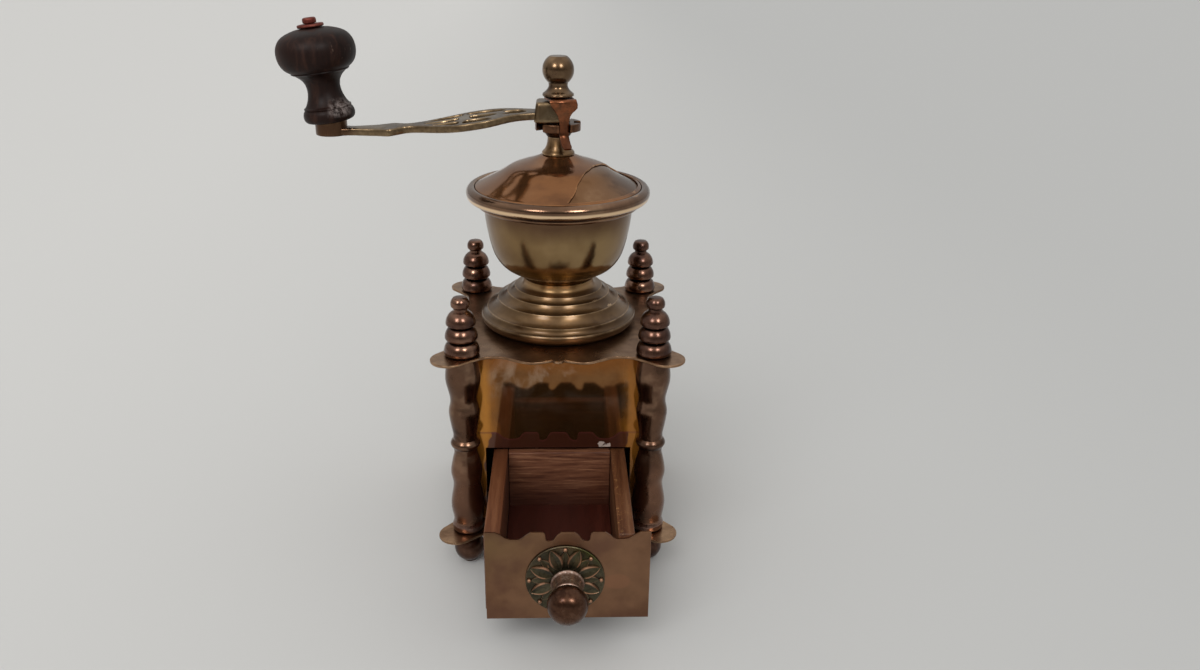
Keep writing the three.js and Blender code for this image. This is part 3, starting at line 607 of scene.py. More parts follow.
smudge = times(tree, smudge, stretch(tree, upwards, 0.074, 0.088, 0.1, 1))
coat(front_mirror, smudge, (176, 152, 130))
from_middle = work_out(tree, "ABSOLUTE", across, 0)
beside = work_out(tree, "ADD", from_middle, wave)
# Amber at the sides, less metallic: a painted reflection of the columns in the mirror-bright front.
painted_side_reflection = stretch(tree, beside, 0.027, 0.033, 0, 0.95)
coat(front_mirror, painted_side_reflection, (156, 99, 33))
# Brighter still at the far left: painted light where the left column shades the front.
coat(front_mirror, stretch(tree, across, -0.034, -0.031, 0.8, 0), (206, 138, 52))
# The painted reflection at the sides grows darker towards the foot.
painted_side_reflection_low = times(tree, painted_side_reflection, stretch(tree, upwards, 0.03, 0.066, 0.75, 0))
coat(front_mirror, painted_side_reflection_low, (84, 52, 22))
# Ochre along the top: a painted reflection of the upper plate's underside.
above = work_out(tree, "ADD", upwards, wave)
coat(front_mirror, stretch(tree, above, 0.094, 0.103, 0, 0.7), (148, 86, 30))
notches = add(tree, "ShaderNodeFloatCurve", {"Value": stretch(tree, from_middle, 0, 0.0342, 0, 1)})
notch_points = [
    (2.7, 0), (4.6, 1.6), (6.2, 3.8), (8, 4.3), (9, 3.4), (9.4, 0.9), (10.3, 0), (15.3, 0), (17.4, 1.5),
    (19.6, 3.2), (22.4, 3.5), (25.2, 2.9), (27.6, 1.2), (29.8, 0),
]
curve = notches.mapping.curves[0]
curve.points[0].location = (0, 0)
curve.points[1].location = (1, 0)
for x, down in notch_points:
    curve.points.new(x / 34.2, down / 5)
notches.mapping.update()
print_top = stretch(tree, notches.outputs[0], 0, 1, 0.0648, 0.0598)
print_depth = work_out(tree, "SUBTRACT", print_top, upwards)
print_side = stretch(tree, beside, 0.0335, 0.0342, 1, 0)
printed = times(tree, stretch(tree, print_depth, 0, 0.0005, 0, 0.85), print_side)
coat(front_mirror, printed, (60, 25, 22))
bare = times(tree, stretch(tree, painted_side_reflection, 0, 1, 0.9, 0.5), stretch(tree, printed, 0, 1, 1, 0.4))
tree.links.new(bare, shader_of(front_mirror).inputs["Metallic"])
print_rim = band(tree, print_depth, -0.0002, 0.0003, 0.0006, 0.0013)
coat(front_mirror, times(tree, print_rim, 0.5), (96, 44, 42))
wax = band(tree, across, 0.0165, 0.0195, 0.0245, 0.0255)
wax = times(tree, wax, band(tree, upwards, 0.0563, 0.0566, 0.0585, 0.0612))
lumps = stretch(tree, times(tree, wax, speckle(tree, 520, 3)), 0.4, 0.46, 0, 1)
coat(front_mirror, lumps, (214, 196, 184))
case_half, case_front_y, case_rear_y, fold = 35.7, -33.7, 39.2, 1.6


def rear_fold(radius):
    run = []
    for x, start in ((1, 0), (-1, 90)):
        for step in range(9):
            angle = math.radians(start + 90 * step / 8)
            across = x * (case_half - fold) + radius * math.cos(angle)
            run.append((across, case_rear_y - fold + radius * math.sin(angle)))
    return run


folded_outline = [(case_half, case_front_y)] + rear_fold(fold) + [(-case_half, case_front_y)]
folded_outline += [(1 - case_half, case_front_y)] + rear_fold(fold - 1)[::-1]
folded_outline += [(case_half - 1, case_front_y)]
shell_edge = rolled_edge(on_base_plate, under_top_plate, 0.15)
shell = cut_sheet("case_shell", [folded_outline], shell_edge, case_brass)
fit(shell, "mill", "brass", "case_rear", "case_left", "case_right")
to_front = Matrix(((1, 0, 0, 0), (0, 0, -1, 0), (0, 1, 0, 0), (0, 0, 0, 1)))
front_half, opening_left, opening_right, opening_top = 38.5, -34.4, 34.3, 56.2
sheet_outline = [(-front_half, on_base_plate), (opening_left, on_base_plate), (opening_left, opening_top)]
sheet_outline += [(opening_right, opening_top), (opening_right, on_base_plate)]
sheet_outline += [(front_half, on_base_plate), (front_half, under_top_plate)]
sheet_outline += [(-front_half, under_top_plate)]
front_sheet = cut_sheet("case_front_sheet", [sheet_outline], rolled_edge(34, 35, 0.15), front_mirror)
fit(front_sheet, "mill", "brass", "case_front", at=to_front)

# The hopper's foot, turned brass: four sloping bands, each a little hollow and ending in a thin
# bright edge, under a short straight neck. It stands on the upper plate over the burr.
hopper_foot_brass = tarnished(
    "hopper_foot_brass", (88, 65, 43), (110, 84, 56), (130, 101, 69), gloss=(0.32, 0.44),
    hollow_tone=(60, 38, 22), worn=(214, 180, 140), patch=30, speck=0.15, lathe=0.5, hollow=0.25,
)
brushed(hopper_foot_brass, 0.6)
tree, _, _, upwards = within(hopper_foot_brass)
# Bright golden towards the neck: a painted highlight, the sheen of the lamps on the neck.
coat(hopper_foot_brass, stretch(tree, upwards, 0.1265, 0.129, 0, 0.8), (180, 142, 96))
# Darker on the lowest band: painted shade that tones down the highlights on the outer ring.
coat(hopper_foot_brass, stretch(tree, upwards, 0.1155, 0.117, 0.6, 0), (84, 62, 40))
foot_profile = [(33.2, on_top_plate), (34.6, on_top_plate), (35.5, 109.3), (36.6, 110.5)]
foot_profile += [(37.1, 111.8), (37.1, 113), (36.8, 113.6)]
foot_bands = [
    ([(36.4, 113.6), (35.4, 114.1), (34.7, 115), (34.35, 116)], 10, [(34.2, 116.5), (33.9, 116.6)]),
    ([(33.5, 116.6), (31.8, 117.5), (30.2, 119.1), (29.3, 120.6)], 12, [(29.1, 121), (28.8, 121.1)]),
    ([(28.4, 121.1), (26.8, 121.7), (25.4, 122.8), (24.7, 123.9)], 12, [(24.5, 124.2), (24.2, 124.3)]),
    ([(23.9, 124.3), (22.8, 124.7), (21.8, 125.5), (21.2, 126.4)], 12, [(21, 126.7), (20.7, 126.8)]),
]
for slope, steps, edge in foot_bands:
    foot_profile += flow(slope, steps) + edge
foot_profile += flow([(20.2, 126.8), (18.4, 127.1), (17.1, 127.9), (16.6, 129.2), (16.8, 131)], 20)
foot_profile += [(14.6, 131), (14.4, 127), (22, 121.8), (29.5, 116.4), (33.2, 112.2)]
hopper_foot = turned("hopper_foot_rings", foot_profile, hopper_foot_brass, 160, 1, True, 24)
fit(hopper_foot, "mill", "brass", "hopper_foot")

# The bowl, thin brass spun over a form: olive in the middle, purplish and darker towards the rim,
# where the darkening is a painted shadow of the rim, with a purplish painted reflection at the sides,
# a golden brown painted reflection of the foot at the bottom and painted shade just above the foot,
# and faint marks round it from the spinning tool.
bowl_brass = tarnished(
    "bowl_brass", (116, 90, 62), (134, 108, 74), (150, 124, 88), gloss=(0.16, 0.26),
    hollow_tone=(60, 42, 28), worn=(190, 156, 112), patch=18, speck=0.12, lathe=0.5, lacquer=0.0,
)
tree, across, _, upwards = within(bowl_brass)
drift = stretch(tree, speckle(tree, 40, 3, (1, 1, 0.4)), 0.3, 0.7, -0.003, 0.003)
level = work_out(tree, "ADD", upwards, drift)
# Purplish and darker under the rim: partly the bowl's own tone, partly a painted shadow of the rim.
coat(bowl_brass, stretch(tree, level, 0.157, 0.166, 0, 0.85), (88, 64, 49))
# Purplish grey towards the sides as seen from the front: a painted reflection.
sides = work_out(tree, "ABSOLUTE", across, 0)
coat(bowl_brass, stretch(tree, sides, 0.02, 0.033, 0, 0.6), (123, 98, 79))
# Golden brown low on the bowl: a painted reflection of the brass foot below it.
coat(bowl_brass, stretch(tree, level, 0.1375, 0.144, 0.85, 0), (150, 118, 62))
# Darker just above the foot: painted shade where the bowl meets the foot.
coat(bowl_brass, stretch(tree, level, 0.1335, 0.136, 0.85, 0), (96, 66, 36))
bowl_outside = [
    (19.6, 133.7), (22, 134.8), (26.3, 137.6), (29.6, 142), (31.6, 147.4), (33.3, 155), (34.4, 163),
    (34.9, 172),
]
bowl_inside = [
    (33.9, 172), (33.4, 163), (32.2, 155), (30.5, 147.9), (28.7, 143), (25.7, 138.8), (21.4, 135.9),
    (17.2, 134),
]
bowl_profile = [(12.4, 131.3)]
bowl_profile += ease_corners([(15, 131.3), (17, 131.3), (17.3, 132.6), (18.6, 133.2)], 0.4)
bowl_profile += flow(bowl_outside, 56) + flow(bowl_inside, 40) + [(12.4, 132.4)]
bowl = turned("hopper_bowl_spun", bowl_profile, bowl_brass, 160, 1.2, True)
fit(bowl, "mill", "brass", "hopper_bowl")

# The rim, a heavy rolled bead of copper-brown brass pressed over the bowl's mouth, with a painted
# highlight along its lower side. A small second bead runs under it, and its inner step carries the lid.
rim_brass = tarnished(
    "rim_brass", (98, 72, 54), (122, 92, 70), (144, 114, 88), gloss=(0.14, 0.22),
    hollow_tone=(48, 30, 20), worn=(180, 138, 100), patch=26, speck=0.12, lathe=0.2,
)
tree, _, _, upwards = within(rim_brass)
# A thin bright line low on the bead: a painted highlight, the bright table in front reflected in it.
coat(rim_brass, band(tree, upwards, 0.1697, 0.1704, 0.1713, 0.172), (240, 206, 166))
rim_bead = [
    (39.2, 175.3), (40.4, 175.4), (41.7, 174.6), (42.5, 173.2), (42.5, 171.6), (41.9, 169.9),
    (40.4, 169), (38.4, 168.7),
]
rim_profile = [(38.8, 172.4), (38.8, 175)] + flow(rim_bead, 36)
rim_profile += flow([(37.6, 168.2), (37.9, 167.3), (37.4, 166.4), (36.4, 165.9), (35.7, 165.7)], 14)
rim_profile += [(35.3, 165.7), (35.3, 172.4)]
rim = turned("hopper_rim_bead", rim_profile, rim_brass, 160, 0.9, True)
fit(rim, "mill", "dark_brass", "hopper_rim")

# The domed lid, spun copper-brown brass with a wide window cut in it. It is polished well enough to
# mirror the arm above it.
dome_brass = tarnished(
    "dome_brass", (104, 68, 43), (130, 87, 54), (150, 106, 70), gloss=(0.1, 0.16),
    hollow_tone=(56, 34, 20), worn=(200, 150, 104), patch=22, speck=0.1, dent=0.008, lacquer=0.0,
)
shader_of(dome_brass).inputs["Metallic"].default_value = 0.86
dome_curve = [(7.6, 189.4), (12, 187.6), (17, 186), (22, 184.1), (27, 181), (32, 178.3), (37, 175.8)]
dome_curve = flow(dome_curve, 48)


def lowered(points, amount):
    return [(r, z - amount) for r, z in points]


dome_profile = [(5, 189.4)] + dome_curve
dome_profile += ease_corners([(38.2, 175.3), (38.5, 174.9), (38.5, 172.7)], 0.3)
dome_profile += [(37.9, 172.7), (37.9, 174.4)] + lowered(dome_curve, 0.6)[::-1] + [(5, 188.8)]
dome = turned("dome_lid_spun", dome_profile, dome_brass, 192, 1.2, True)
window_middle, window_spread, window_rim = 66, 59.5, 36.9
window_half = [(window_rim, window_spread), (31, 52.3), (26.6, 47.4), (24, 41.5)]
window_half += [(22.2, 36.5), (20, 28), (18.4, 15), (17.5, 0)]
right_through = [(0, 160), (0, 200)]


def from_front(degrees, radius):
    return (radius * math.sin(math.radians(degrees)), -radius * math.cos(math.radians(degrees)))


def cut_by(piece, cutter, how):
    cut = piece.modifiers.new("cut", "BOOLEAN")
    cut.operation = how
    cut.solver = "EXACT"
    cut.object = cutter
    piece = make_real(piece)
    bpy.data.objects.remove(cutter)
    piece.data.set_sharp_from_angle(angle=math.radians(35))
    return piece


window_edge = [from_front(window_middle - a, r) for r, a in window_half]
window_edge += [from_front(window_middle + a, r) for r, a in reversed(window_half[:-1])]
window_outline = flow(window_edge, 112)
for step in range(1, 48):
    bearing = window_middle + window_spread * (1 - step / 24)
    window_outline.append(from_front(bearing, window_rim))
cutter = cut_sheet("window", [window_outline], right_through, dome_brass)
dome = cut_by(dome, cutter, "DIFFERENCE")
fit(dome, "mill", "dark_brass", "dome_lid")

# The hatch, a sector of the same dome just under it that turns round the bush. It is duller and
# more olive than the lid, and its edge shows in the window as a thin seam.
hatch_brass = tarnished(
    "hatch_brass", (98, 68, 44), (121, 88, 61), (138, 106, 78), gloss=(0.14, 0.22),
    hollow_tone=(40, 24, 14), worn=(200, 150, 104), patch=26, speck=0.15, dent=0.012, lacquer=0.0,
)
hatch_profile = [(5.2, 188.5)] + lowered(dome_curve, 0.9) + [(37.2, 174.4), (37.2, 173.8)]
hatch_profile += lowered(dome_curve, 1.5)[::-1] + [(5.2, 187.9)]
hatch = turned("sliding_hatch_spun", hatch_profile, hatch_brass, 192, 1.2, True)
hatch_half = 68.5
from_end, from_start = window_middle + hatch_half, window_middle - hatch_half
sector = [from_front(from_end + (360 - 2 * hatch_half) * k / 60, 10) for k in range(61)]
sector += [from_front(from_start + 2 * hatch_half * k / 60, 40) for k in range(61)]
cutter = cut_sheet("sector", [sector], right_through, hatch_brass)
hatch = cut_by(hatch, cutter, "INTERSECT")
fit(hatch, "hatch", "dark_brass", "sliding_hatch")

# The bush in the lid, turned brass with a trumpet-shaped foot, and the ring nut under the lid that
# holds it. The spindle turns inside it.
bright_brass = tarnished(
    "bright_brass", (120, 92, 62), (160, 128, 92), (190, 160, 120), gloss=(0.3, 0.4),
    hollow_tone=(50, 34, 22), worn=(206, 174, 134), patch=60, speck=0.15, lathe=0.3,
)
brushed(bright_brass, 0.7)
sleeve_profile = [(3.4, 183.4), (4.7, 183.4), (4.7, 189.7)] + ease_corners(
    [(6.6, 189.7), (7.4, 189.7), (7.5, 190.5), (7.1, 191.1), (6.6, 191.5)], 0.25
)
sleeve_profile += flow([(6.2, 192), (5.5, 193.4), (5.1, 195), (4.9, 196.4), (4.9, 197.6)], 14)
sleeve_profile += [(3.4, 197.6)]
sleeve = turned("bearing_sleeve_turned", sleeve_profile, bright_brass, 80, 0.8, True)
fit(sleeve, "mill", "brass", "bearing_sleeve")
refinish(["sleeve_nut"], bright_brass)

# The star nut, dark brown brass, with five notches for the clip's tongue and a tapered boss below. It
# is turned by hand to set how fine the mill grinds.
nut_brass = tarnished(
    "nut_brass", (48, 32, 21), (67, 46, 32), (88, 62, 44), gloss=(0.26, 0.4),
    hollow_tone=(40, 20, 12), worn=(130, 88, 62), patch=80, lacquer=0.1,
)
clip_bearing = 17
star_outline = []


def spoke(angle, radius):
    return (radius * math.cos(math.radians(angle)), radius * math.sin(math.radians(angle)))


tooth_radius, root_radius, notch_half = 10.5, 7.6, 2.6
outer = 36 - math.degrees(math.asin(notch_half / tooth_radius))
inner = 36 - math.degrees(math.asin(notch_half / root_radius))
for tooth in range(5):
    middle = clip_bearing - 90 + (tooth + 0.5) * 72
    star_outline.append(spoke(middle - inner, root_radius))
    star_outline += [spoke(middle - outer + 2 * outer * k / 14, tooth_radius) for k in range(15)]
    star_outline.append(spoke(middle + inner, root_radius))
star_loops = [star_outline, ring(0, 0, 3.35, 40)]
star = cut_sheet("star_nut", star_loops, rolled_edge(200.6, 204.2, 0.4), nut_brass, 35)
boss = turned(
    "star_boss",
    ease_corners([(3.35, 197.9), (5.2, 197.9), (5.7, 198.6), (7.4, 200.65), (3.35, 200.65)], 0.25),
    nut_brass,
    64,
    0.8,
    True,
)


def join(name, pieces):
    body = bmesh.new()
    for piece in pieces:
        body.from_mesh(piece.data)
    mesh = bpy.data.meshes.new(name)
    body.to_mesh(mesh)
    body.free()
    for finish in {m.name: m for p in pieces for m in p.data.materials}.values():
        mesh.materials.append(finish)
    made = bpy.data.objects.new(name, mesh)
    bpy.context.scene.collection.objects.link(made)
    for piece in pieces:
        bpy.data.objects.remove(piece)
    return made


fit(join("adjusting_nut_star", [star, boss]), "nut", "copper", "adjusting_nut")

# The locking clip, a strip of springy copper-red sheet under the ball nut. It bends down over the
# hub, narrows to a tongue that drops into a notch of the star nut, and kicks outwards at its end.
clip_copper = tarnished(
    "clip_copper", (56, 38, 26), (72, 50, 35), (90, 65, 46), gloss=(0.24, 0.36),
    hollow_tone=(50, 26, 15), worn=(150, 88, 56), patch=60, speck=0.15, lacquer=0.1,
)
tree, _, _, upwards = within(clip_copper)
coat(clip_copper, stretch(tree, upwards, 0.2, 0.209, 0.7, 0), (78, 43, 26))
tab_outline = [(5.4, -8.0)] + [spoke(a, 6.3) for a in range(0, 181, 6)] + [(-6, -8.0)]
tab_loops = [tab_outline, ring(0, 0, 2.95, 40)]
tab = cut_sheet("clip_tab", tab_loops, rolled_edge(214.4, 215.2, 0.15), clip_copper)
strip_path = [(-7.6, 214.8)]
for k in range(10):
    bend = k * math.pi / 18
    strip_path.append((-7.8 - 1.1 * math.sin(bend), 213.7 + 1.1 * math.cos(bend)))
strip_path += [(-8.9, 213.7 - 0.6 * k) for k in range(1, 22)]
kick = (199.8, 199, 198.2, 197.4, 196.6, 195.8, 195, 194.4)
strip_path += [(-8.9 - 0.16 * (200.4 - z) ** 2, z) for z in kick]
tongue = [(194.4, 1.6), (195, 2.2), (205.4, 2.2)]
left_edge = tongue + [(207.6, 2.7), (209.4, 3.6), (211, 4.8), (212.6, 5.9), (214.2, 6.5)]
right_edge = tongue + [(208, 2.9), (209.4, 4), (210.4, 5.4), (211.4, 6.3), (213, 6.3), (214.2, 5.9)]


def read_off(table, at):
    if at <= table[0][0]:
        return table[0][1]
    for (low_at, low_value), (high_at, high_value) in zip(table, table[1:]):
        if at <= high_at:
            return low_value + (high_value - low_value) * (at - low_at) / (high_at - low_at)
    return table[-1][1]


body = bmesh.new()
rings = []
for k, (y, z) in enumerate(strip_path):
    before, after = strip_path[max(0, k - 1)], strip_path[min(len(strip_path) - 1, k + 1)]
    along = (Vector(after) - Vector(before)).normalized()
    facing = Vector((along.y, -along.x))
    left_side, right_side = -read_off(left_edge, z), read_off(right_edge, z)
    section = [(left_side + 0.2, -0.4), (right_side - 0.2, -0.4), (right_side, -0.2), (right_side, 0.2)]
    section += [(right_side - 0.2, 0.4), (left_side + 0.2, 0.4), (left_side, 0.2), (left_side, -0.2)]
    spots = [(u, Vector((y, z)) + facing * v) for u, v in section]
    rings.append([body.verts.new((u / 1000, spot.x / 1000, spot.y / 1000)) for u, spot in spots])
bridge(body, rings)
body.faces.new(rings[0])
body.faces.new(list(reversed(rings[-1])))
clip = join("locking_clip_bent", [tab, keep_mesh("clip_strip", body, clip_copper, 50)])
turned_to_notch = Matrix.Rotation(math.radians(clip_bearing), 4, "Z")
fit(clip, "crank", "copper", "locking_clip", at=turned_to_notch)

# The crank arm, cast brass with an olive-grey skin: a pierced leaf with a barb beyond it, a tapered
# square hub on the spindle and a blunt round end under the knob. The edges are rubbed bright.
arm_brass = tarnished(
    "arm_brass", (78, 62, 46), (104, 86, 64), (126, 108, 84), gloss=(0.26, 0.4),
    hollow_tone=(48, 36, 26), worn=(154, 130, 98), patch=60, speck=0.2, dent=0.04, lacquer=0.05,
)
tree, across, _, _ = within(arm_brass)
coat(arm_brass, stretch(tree, across, -0.0945, -0.088, 0.85, 0), (84, 58, 42))
crank_reach, knob_base = 101.8, 203.8
knob_lean = math.radians(7.5)


def opened(piece):
    body = bmesh.new()
    body.from_mesh(piece.data)
    return body


def closed(piece, body):
    body.to_mesh(piece.data)
    body.free()
    piece.data.set_sharp_from_angle(angle=math.radians(35))


arm_half = [
    (8, 6), (12, 6.4), (17, 8.2), (22, 11), (27, 14.2), (32, 16.4), (38, 17), (44, 16), (50, 13.2),
    (56, 9.6), (61, 6.4), (65.5, 4.6), (68.5, 4.6), (71.5, 6.6), (75, 8.6), (78, 7.6), (82, 6),
    (87, 4.8), (92, 3.8), (95.5, 4.4),
]
arm_holes = [
    [(58, 3.6), (53, 9), (45, 12.6), (44, 9.2), (50, 4.6)],
    [(41.5, 12.6), (34, 13.2), (26, 10.2), (24.5, 6.4), (32, 6.8), (40, 9.2)],
    [(24.5, 3.4), (18, 4.2), (14.5, 0), (18, -4.2), (24.5, -3.4), (22, 0)],
    [(60, -0.6), (52, 0.8), (45.5, 3.4), (46, -2.2), (52, -3.4)],
    [(41.5, -12.4), (34.5, -13.2), (29.5, -11.4), (33, -6.6), (41, -5.6)],
    [(56, -6.4), (50, -10), (45, -12.4), (44.5, -6), (50, -5.6)],
    [(40, 4.6), (33, 3.2), (28, 0), (31.5, -3.4), (38, -2.6)],
]
arm_side = flow([(-u, w) for u, w in arm_half], 110)
end_angles = [0.66 + (2 * math.pi - 1.32) * k / 40 for k in range(1, 40)]
arm_end = [(-crank_reach + 7 * math.cos(a), 7 * math.sin(a)) for a in end_angles]
arm_outline = arm_side + arm_end + [(x, -y) for x, y in reversed(arm_side)]


def area(loop):
    return sum(a[0] * b[1] - b[0] * a[1] for a, b in zip(loop, loop[1:] + loop[:1])) / 2


arm_loops = [arm_outline if area(arm_outline) > 0 else arm_outline[::-1]]
for hole in arm_holes:
    points = [(-u, v) for u, v in hole]
    loop = flow(points[-1:] + points + points[:1] + points[1:2], 10 * (len(points) + 2))
    loop = loop[10 : 10 + 10 * len(points)]
    arm_loops.append(loop if area(loop) < 0 else loop[::-1])
arm = cut_sheet("arm_leaf", arm_loops, rolled_edge(-3.2, 0, 0.7), arm_brass, 35)
arm_top = flow(
    [
        (0, 208.9), (12, 208.9), (21, 208.5), (30, 207.2), (39, 205.8), (48.6, 204.3), (57.6, 203.2),
        (66, 202.4), (76, 201.5), (89, 201), (110, 200.9),
    ],
    220,
)
body = opened(arm)
for cut_at in range(10, 108, 3):
    everything = body.verts[:] + body.edges[:] + body.faces[:]
    bmesh.ops.bisect_plane(body, geom=everything, plane_co=(-cut_at / 1000, 0, 0), plane_no=(1, 0, 0))
for vert in body.verts:
    vert.co.z += read_off(arm_top, -vert.co.x * 1000) / 1000
closed(arm, body)


def block_section(half_x, half_y, corner, z):
    run = []
    for x, y, start in ((1, 1, 0), (-1, 1, 90), (-1, -1, 180), (1, -1, 270)):
        for step in range(7):
            angle = math.radians(start + 90 * step / 6)
            side = -2.8 + x * (half_x - corner) + corner * math.cos(angle)
            run.append(Vector((side, y * (half_y - corner) + corner * math.sin(angle), z)) / 1000)
    return run


body = bmesh.new()
sections = [
    (7.5, 7.1, 2.4, 204.6), (7.9, 7.5, 2.5, 204.8), (8.1, 7.7, 2.6, 205.2), (8, 7.6, 2.4, 206.4),
    (7.7, 7.3, 2.1, 209.2), (7.3, 6.9, 1.8, 211.8), (7.1, 6.7, 1.7, 212.7), (6.8, 6.4, 1.5, 213.3),
    (6.2, 5.8, 1.2, 213.6),
]
rings = [[body.verts.new(spot) for spot in block_section(*section)] for section in sections]
bridge(body, rings)
body.faces.new(list(reversed(rings[0])))
body.faces.new(rings[-1])
hub = keep_mesh("arm_hub", body, arm_brass, 40)
knob_place = Matrix.Translation((-crank_reach / 1000, 0, knob_base / 1000))
knob_frame = knob_place @ Matrix.Rotation(-knob_lean, 4, "Y")
end_boss = turned(
    "arm_boss", ease_corners([(0, 197.7), (7, 197.7), (7, 208), (0, 208)], 0.6), arm_brass, 56, 0.8
)
end_boss.data.transform(Matrix.Translation((-crank_reach / 1000, 0, 0)))
body = opened(end_boss)
bmesh.ops.bisect_plane(
    body,
    geom=body.verts[:] + body.edges[:] + body.faces[:],
    plane_co=knob_frame @ Vector((0, 0, -0.0004)),
    plane_no=knob_frame.to_3x3() @ Vector((0, 0, 1)),
    clear_outer=True,
)
bmesh.ops.holes_fill(body, edges=body.edges[:])
closed(end_boss, body)
pin_bore = turned("pin_bore", [(0, -12), (2.4, -12), (2.4, 6), (0, 6)], arm_brass, 40)
pin_bore.data.transform(knob_frame)
end_boss = cut_by(end_boss, pin_bore, "DIFFERENCE")
crank_arm = join("crank_arm_cast", [arm, hub, end_boss])
fit(crank_arm, "crank", "brass", "crank_arm")

# The ball nut on top, turned from one piece of brass, with a moulded foot, a waist and a ball with
# a small flat. It clamps clip and crank on the spindle.
ball_brass = tarnished(
    "ball_brass", (76, 56, 40), (100, 77, 54), (128, 103, 76), gloss=(0.2, 0.32),
    hollow_tone=(44, 28, 20), worn=(176, 146, 116), patch=70, speck=0.2, lathe=0.3,
)
ball_profile = [(2.95, 215.5)]
ball_profile += ease_corners([(6.4, 215.5), (7.1, 215.8), (7.1, 216.6), (6.5, 217.2), (5.8, 217.7)], 0.3)
ball_profile += flow([(5.3, 218.2), (4.6, 219.2), (4.3, 220.1), (4.3, 220.8)], 12)
ball_profile += ball(227.1, 7.1, -52, 57, 34) + [(3.4, 233.05), (0, 233.05), (0, 229.3), (2.95, 229.3)]
ball_nut = turned("ball_nut_turned", ball_profile, ball_brass, 80, 0.8, True)
fit(ball_nut, "crank", "brass", "ball_nut")

# The crank's knob, dark stained hardwood turned to a mushroom on a waisted stem, with a thin ridge
# under the head. It is dry and scuffed low on the head and at its right edge.
knob_wood, tree, shader = new_finish("knob_wood")
grain = speckle(tree, 240, 5, (1, 1, 0.15), 0.6, 0.3)
wood = shades(tree, grain, [(0.35, srgb(22, 11, 8)), (0.5, srgb(32, 18, 14)), (0.68, srgb(50, 31, 24))])
scuffs = stretch(tree, speckle(tree, 380, 5, (1, 1, 0.5), 0.7), 0.6, 0.7, 0, 0.45)
across, _, upwards = about_spindle(tree)
right_low = stretch(tree, across, -0.104, -0.088, 0, 1)
right_low = times(tree, right_low, band(tree, upwards, 0.222, 0.226, 0.236, 0.242))
wood = blend(tree, times(tree, scuffs, right_low), wood, srgb(150, 124, 108))
on_flare = band(tree, across, -0.101, -0.098, -0.0935, -0.091)
on_flare = times(tree, on_flare, band(tree, upwards, 0.2065, 0.2085, 0.212, 0.215))
chafed = stretch(tree, speckle(tree, 700, 5, (1, 1, 0.6), 0.7), 0.42, 0.6, 0, 0.8)
wood = blend(tree, times(tree, chafed, on_flare), wood, srgb(136, 124, 120))
dress(tree, shader, wood, stretch(tree, grain, 0.3, 0.7, 0.36, 0.52), grain, 0.2, 0.0003)
shader.inputs["Specular IOR Level"].default_value = 0.12
knob_profile = [(2.5, 0)] + ease_corners([(9, 0), (10.2, 0.4), (10.9, 1.2)], 0.4)
knob_profile += flow([(11.2, 2), (11.3, 3.2), (11, 4.6), (10.4, 5.6)], 12)
knob_profile += [(10.1, 5.8), (10.4, 6.1), (10.35, 6.6), (9.9, 6.9)]
knob_waist = [(9.6, 7.1), (8.5, 9), (7.6, 11.6), (7.25, 14.4), (7.7, 17), (9, 19.2), (11.2, 21.1)]
knob_head = [
    (13, 22.4), (15.2, 24.2), (16.7, 27), (17.2, 30.4), (16.6, 33.8), (14.8, 36.6), (12, 38.4),
    (8, 39.7), (5, 40.1), (2.5, 40.1),
]
knob_profile += flow(knob_waist, 34) + [(12.2, 21.5), (12.7, 21.8), (12.6, 22.2)] + flow(knob_head, 54)
knob = turned("crank_knob_turned", knob_profile, knob_wood, 96, 1, True)
fit(knob, "handle", "knob_wood", "crank_knob", at=knob_frame)

# The riveted pin on which the knob turns, and the washer under its head. Both carry a dull red
# oxide.
oxide = tarnished(
    "oxide", (84, 40, 34), (108, 54, 47), (128, 74, 64), gloss=(0.45, 0.65),
    hollow_tone=(40, 20, 14), worn=(150, 106, 92), patch=120, dent=0.15, lacquer=0.0,
)
pin = turned(
    "knob_pin_riveted",
    [(0, -5.8), (2.1, -5.8), (2.1, 42.1)]
    + ease_corners([(2.5, 42.1), (2.9, 42.2), (3, 43.6), (2.7, 44.3), (2, 44.5)], 0.25)
    + [(0, 44.5)],
    oxide,
    48,
    0.8,
)
fit(pin, "crank", "copper", "knob_pin", at=knob_frame)
washer = turned(
    "knob_washer_pressed",
    ease_corners([(2.5, 40.4), (5.4, 40.4), (5.8, 40.8), (5.7, 41.5), (5.3, 41.8), (2.5, 41.8)], 0.2),
    oxide,
    56,
    0.8,
    True,
)
fit(washer, "crank", "copper", "knob_washer", at=knob_frame)


# The drawer's box: five boards of old oiled hardwood, reddish brown, nearly black on the floor from
# coffee oil. The grain runs along each board, and the edges are softened by use.
def board_wood(name, stretched, dark, middle, light, grain_scale=300):
    finish, tree, shader = new_finish(name)
    dark, middle, light = srgb(*dark), srgb(*middle), srgb(*light)
    grain = speckle(tree, grain_scale, 6, stretched, 0.6, 0.25)
    pores = speckle(tree, grain_scale * 4, 3, stretched, 0.5)
    wood = shades(tree, grain, [(0.34, dark), (0.5, middle), (0.66, light)])
    wood = blend(tree, stretch(tree, pores, 0.55, 0.66, 0, 0.45), wood, dark)
    dress(tree, shader, wood, stretch(tree, grain, 0.3, 0.7, 0.42, 0.58), pores, 0.3, 0.0003)
    shader.inputs["Specular IOR Level"].default_value = 0.35
    return finish


